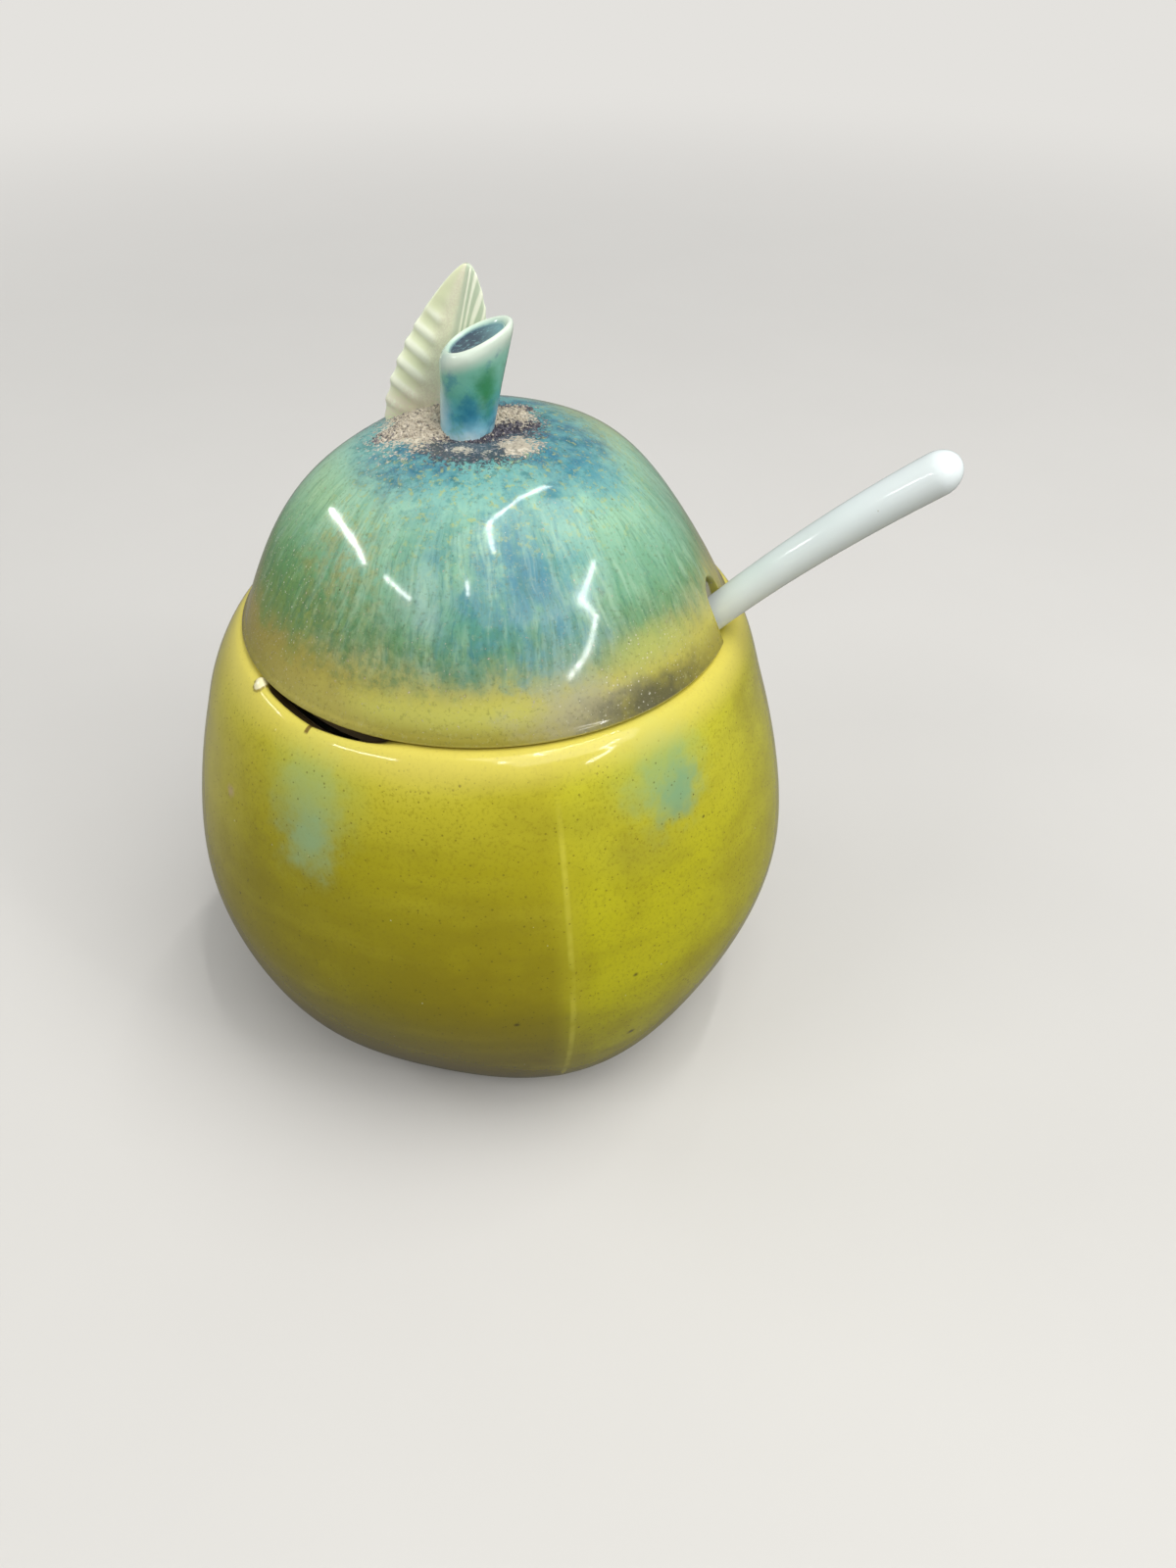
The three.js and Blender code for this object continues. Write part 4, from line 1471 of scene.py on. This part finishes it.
def make_stem():
    ring = circle(STEM_TURN_STEPS)
    rings, lips, cuts = [], [], []
    for share, drawn_in, drop, cut in stem_rows():
        radius = mix(STEM_FOOT_RADIUS, STEM_TOP_RADIUS, share**STEM_FLARE) - drawn_in
        tall = mix(-ORNAMENT_ROOT, STEM_HEIGHT, share)
        middle = STEM_SHIFT + math.tan(math.radians(STEM_LEAN)) * tall
        slant = math.tan(math.radians(STEM_CUT)) * smooth(STEM_CUT_START, 1, share)
        wobble = 1 + STEM_OVAL * np.sin(2 * ring + 0.6) + STEM_CORNERS * np.sin(3 * ring + 2 * share)
        wobble += STEM_KNOBS * np.sin(5 * ring + 4 * share) * np.sin(9 * share)
        across = radius * np.cos(ring) * wobble
        rings.append(np.column_stack((
            middle + across, radius * np.sin(ring) * wobble,
            top_height + tall + across * slant - drop)))
        lips.append(np.full(len(ring), smooth(*STEM_LIP_SHOWN, share) * (1 - cut)))
        cuts.append(np.full(len(ring), float(smooth(*STEM_CUT_SHOWN, cut))))
    material = glazed("stem_glaze", stem_colour, wave=3.0, wave_height=0.16, dull_of=stem_dull)
    mesh = loft_mesh("stem_body", turned_to_face(np.array(rings)), material,
                     lip=np.array(lips), cut=np.array(cuts))
    mesh_piece("stem_body", mesh, "lid", "stem")


# Leaf

def leaf_ribs(side, share, tall, across, plan):
    """How far ribs stand up, and where there are any: slanting ribs on the left half, and fine streaks
    along the right half."""
    ribs = (tall - LEAF_RIB_SLOPE * np.abs(across)) / LEAF_RIB_SPACING
    wander = LEAF_STREAK_WANDER * np.sin(1.7 * across + 0.3 * tall)
    phase = np.where(side < 0, ribs, across / LEAF_STREAK_SPACING + wander)
    ridge = (0.5 + 0.5 * np.cos(math.tau * phase)) ** LEAF_RIB_SHARPNESS
    left = smooth(*LEAF_RIBS_ACROSS, -side) * smooth(*LEAF_RIBS_UP, share) * smooth(*LEAF_RIBS_FOOT, tall)
    right = LEAF_STREAK * smooth(*LEAF_STREAK_ACROSS, side) * smooth(*LEAF_STREAK_TIP, plan - LEAF_TIP)
    held = np.where(side < 0, left, right)
    return ridge * held, held


def make_leaf():
    ring = circle(LEAF_TURN_STEPS)[None, :]
    side, behind = np.cos(ring), np.sin(ring)
    share = np.linspace(0, 1, LEAF_STEPS)[:, None]
    root_share = (0.5 - LEAF_WIDEST) / (1 - LEAF_WIDEST)
    blade = np.maximum(np.sin(math.pi * mix(root_share, 1, share)), 0)
    plan = blade**LEAF_FULLNESS + LEAF_TIP
    tall = mix(-ORNAMENT_ROOT, LEAF_HEIGHT, share)
    across = side * plan * np.where(side < 0, LEAF_LEFT_WIDTH, LEAF_RIGHT_WIDTH)
    ridge, held = leaf_ribs(side, share, tall, across, plan)
    edge = smooth(*LEAF_SCALLOP_EDGE, np.abs(side))
    across = across * (1 + LEAF_SCALLOP * edge * (ridge - LEAF_SCALLOP_MEAN * held))
    thick = mix(LEAF_THICKNESS, LEAF_EDGE_THICKNESS, np.abs(side))
    back = thick / 2 * np.sqrt(plan) * behind - LEAF_FOLD * np.abs(across)
    face = np.where(behind < 0, 1.0, LEAF_RIB_BEHIND) * np.abs(behind) ** 0.5
    back = back + np.sign(behind) * LEAF_RIB * ridge * face
    middle = LEAF_SHIFT + math.tan(math.radians(LEAF_LEAN)) * np.maximum(tall, 0)
    places = np.broadcast_arrays(middle + across, leaf_back + back, top_height + tall)
    shown = {
        "right": smooth(*LEAF_RIGHT_SHOWN, side),
        "edge": smooth(*LEAF_EDGE_SHOWN, np.abs(side)),
        "fold": bell(side - LEAF_FOLD_AT, LEAF_FOLD_WIDTH),
    }
    shown = {name: np.broadcast_to(value, across.shape) for name, value in shown.items()}
    material = glazed("leaf_glaze", leaf_colour, gloss=0.16, wave=5.0)
    mesh = loft_mesh("leaf_body", turned_to_face(np.stack(places, axis=-1)), material, rib=ridge, **shown)
    mesh_piece("leaf_body", mesh, "lid", "leaf")


# Crust

def grit_tree():
    """Strews small grains over a crust, each with its own size, turn and shade."""
    tree, given = shape_group("Strewn Grit", {
        "Ground": "Object",
        "Density": 1.0,
        "Smallest": 0.1,
        "Largest": 0.2,
        "Seed": 0,
        "Material": "Material",
    })
    seed = given["Seed"]
    ground = wire(tree, "GeometryNodeObjectInfo", {"Object": given["Ground"]}, "Geometry")
    spots = wire(tree, "GeometryNodeDistributePointsOnFaces", {
        "Mesh": ground, "Density": given["Density"], "Seed": seed}, "Points")
    grain = wire(tree, "GeometryNodeMeshIcoSphere", {"Radius": 1.0, "Subdivisions": 1}, "Mesh")
    size = wire(tree, "FunctionNodeRandomValue", {
        2: given["Smallest"], 3: given["Largest"], "Seed": seed}, 1, data_type="FLOAT")
    turn = wire(tree, "FunctionNodeRandomValue", {
        1: (math.tau, math.tau, math.tau), "Seed": seed}, 0, data_type="FLOAT_VECTOR")
    shade = wire(tree, "FunctionNodeRandomValue", {"Seed": seed + 1}, 1, data_type="FLOAT")
    strewn = wire(tree, "GeometryNodeInstanceOnPoints", {
        "Points": spots, "Instance": grain, "Rotation": turn, "Scale": size})
    for name, value in (("shade", shade), ("grain", 1.0)):
        strewn = wire(tree, "GeometryNodeStoreNamedAttribute", {
            "Geometry": strewn, "Name": name, "Value": value,
        }, data_type="FLOAT", domain="INSTANCE")
    joined = add(tree, "GeometryNodeJoinGeometry")
    for shape in (strewn, ground):
        tree.links.new(shape.socket, joined.inputs[0])
    return end_shape(tree, Wire(tree, joined.outputs[0]), given["Material"])


def crust_rings():
    """Rings of the crust from its underside, round its wavy outline and in to its middle."""
    rng = np.random.default_rng(CRUST_SEED)
    around = circle(CRUST_TURN_STEPS)
    waves = sum(rng.uniform(*CRUST_WAVE_SIZE) * np.cos(k * around + rng.uniform(0, math.tau))
                for k in CRUST_WAVES)
    reach = CRUST_REACH * (1 + waves)
    share = np.linspace(1, CRUST_EYE, CRUST_STEPS)[:, None]
    x = CRUST_MIDDLE[0] + share * reach * np.cos(around) * CRUST_STRETCH[0]
    y = CRUST_MIDDLE[1] + share * reach * np.sin(around) * CRUST_STRETCH[1]
    spot = turned_to_face(np.stack((x, y), axis=-1))
    lumps = rng.normal(0, CRUST_LUMP, x.shape)
    lumps = (lumps + np.roll(lumps, 1, 1) + np.roll(lumps, -1, 1)) / 2
    rise = CRUST_HEIGHT * smooth(*CRUST_SLOPE, share) - CRUST_SUNK
    rise = rise + lumps * smooth(*CRUST_LUMPS_FROM, share)
    z = lid_top_at(np.hypot(spot[..., 0], spot[..., 1])) + rise
    top = np.concatenate((spot, z[..., None]), axis=-1)
    return np.concatenate((top[:1] - [0, 0, CRUST_DEPTH], top))


def make_crust():
    material = dry_clay("crust_clay", grit_colour)
    ground = in_scene("crust_ground", loft_mesh("crust_ground", crust_rings(), material))
    mesh = build_with(grit_tree(), "luting_crust", {
        "Ground": ground,
        "Density": GRAINS_PER_AREA / MM**2,
        "Smallest": GRAIN_SIZE[0] * MM,
        "Largest": GRAIN_SIZE[1] * MM,
        "Seed": GRIT_SEED,
        "Material": material,
    })
    bpy.data.objects.remove(ground)
    mesh_piece("luting_crust", mesh, "lid", None)


# Camera, lights and floor

def make_camera():
    back = direction(CAMERA_TURN, CAMERA_RISE)
    place = Vector((0, 0, CAMERA_AIM)) + CAMERA_REACH * back
    data = bpy.data.cameras.new("camera")
    data.sensor_width = SENSOR
    data.lens = FOCAL_PIXELS * SENSOR / PICTURE_HEIGHT
    data.clip_start = CAMERA_CLIP
    camera = in_scene("camera", data)
    turned = (-back).to_track_quat("-Z", "Y").to_matrix()
    for angle, axis in ((-CAMERA_YAW, "Y"), (CAMERA_PITCH, "X"), (CAMERA_ROLL, "Z")):
        turned = turned @ Matrix.Rotation(math.radians(angle), 3, axis)
    camera.matrix_world = Matrix.Translation(place * MM) @ turned.to_4x4()
    bpy.context.scene.camera = camera


def area_light(name, place, along, aim, size, power):
    """A rectangle of light with its long side along a direction, facing a point."""
    data = bpy.data.lights.new(name, "AREA")
    data.shape = "RECTANGLE"
    data.size, data.size_y = size
    data.energy = power
    back = (place - aim).normalized()
    side = (along - along.dot(back) * back).normalized()
    turned = Matrix((side, back.cross(side), back)).transposed()
    in_scene(name, data).matrix_world = Matrix.Translation(place) @ turned.to_4x4()


def camera_sees(tree):
    return wire(tree, "ShaderNodeLightPath", out="Is Camera Ray")


def surroundings(tree):
    return blend(camera_sees(tree), SKY, BACKDROP)


def make_lights():
    aim = Vector((0, 0, LAMP_AIM))
    for name, turns in LAMPS.items():
        places = [aim + LAMP_REACH * direction(*turn) for turn in turns]
        for start, end in zip(places, places[1:]):
            length = (end - start).length
            power = LAMP_GLOW * math.pi * length * LAMP_WIDTH
            area_light("lamp_" + name, (start + end) / 2, end - start, aim, (length, LAMP_WIDTH), power)
    area_light("panel", Vector(PANEL_PLACE), Vector(PANEL_ALONG), aim, PANEL_SIZE, PANEL_POWER)
    world = bpy.data.worlds.new("studio")
    world.use_nodes = True
    tree = world.node_tree
    tree.nodes.clear()
    sky = wire(tree, "ShaderNodeBackground", {"Color": surroundings(tree)})
    add(tree, "ShaderNodeOutputWorld", {"Surface": sky})
    bpy.context.scene.world = world


def make_floor():
    """A pale floor that keeps the shadow and turns into the backdrop away from the pot."""
    material, tree = new_finish("floor")
    pale = blend(noise(tree, FLOOR_CLOUD, 3.0), *FLOOR_TONES)
    near = wire(tree, "ShaderNodeBsdfPrincipled", {
        "Base Color": blend(camera_sees(tree), FLOOR_DULL, pale), "Roughness": FLOOR_ROUGHNESS})
    far = wire(tree, "ShaderNodeEmission", {"Color": surroundings(tree)})
    away = wire(tree, "ShaderNodeVectorMath", {0: object_place(tree)}, "Value", operation="LENGTH")
    switch = wire(tree, "ShaderNodeMixShader", {0: fade(away, *FLOOR_FADE), 1: near, 2: far})
    add(tree, "ShaderNodeOutputMaterial", {"Surface": switch})
    mesh = bpy.data.meshes.new("floor")
    corners = [(x * FLOOR_SIZE, y * FLOOR_SIZE, 0) for x, y in ((-1, -1), (1, -1), (1, 1), (-1, 1))]
    mesh.from_pydata(corners, [], [(0, 1, 2, 3)])
    mesh.materials.append(material)
    floor = in_scene("floor", mesh)
    floor.location.z = -FLOOR_DROP


def main():
    bpy.context.scene.view_settings.view_transform = "Standard"
    make_camera()
    make_floor()
    make_lights()
    shell_tree = turned_shell_tree()
    make_bowl(shell_tree)
    make_lid(shell_tree)
    make_spoon()
    make_stem()
    make_leaf()
    make_crust()


main()
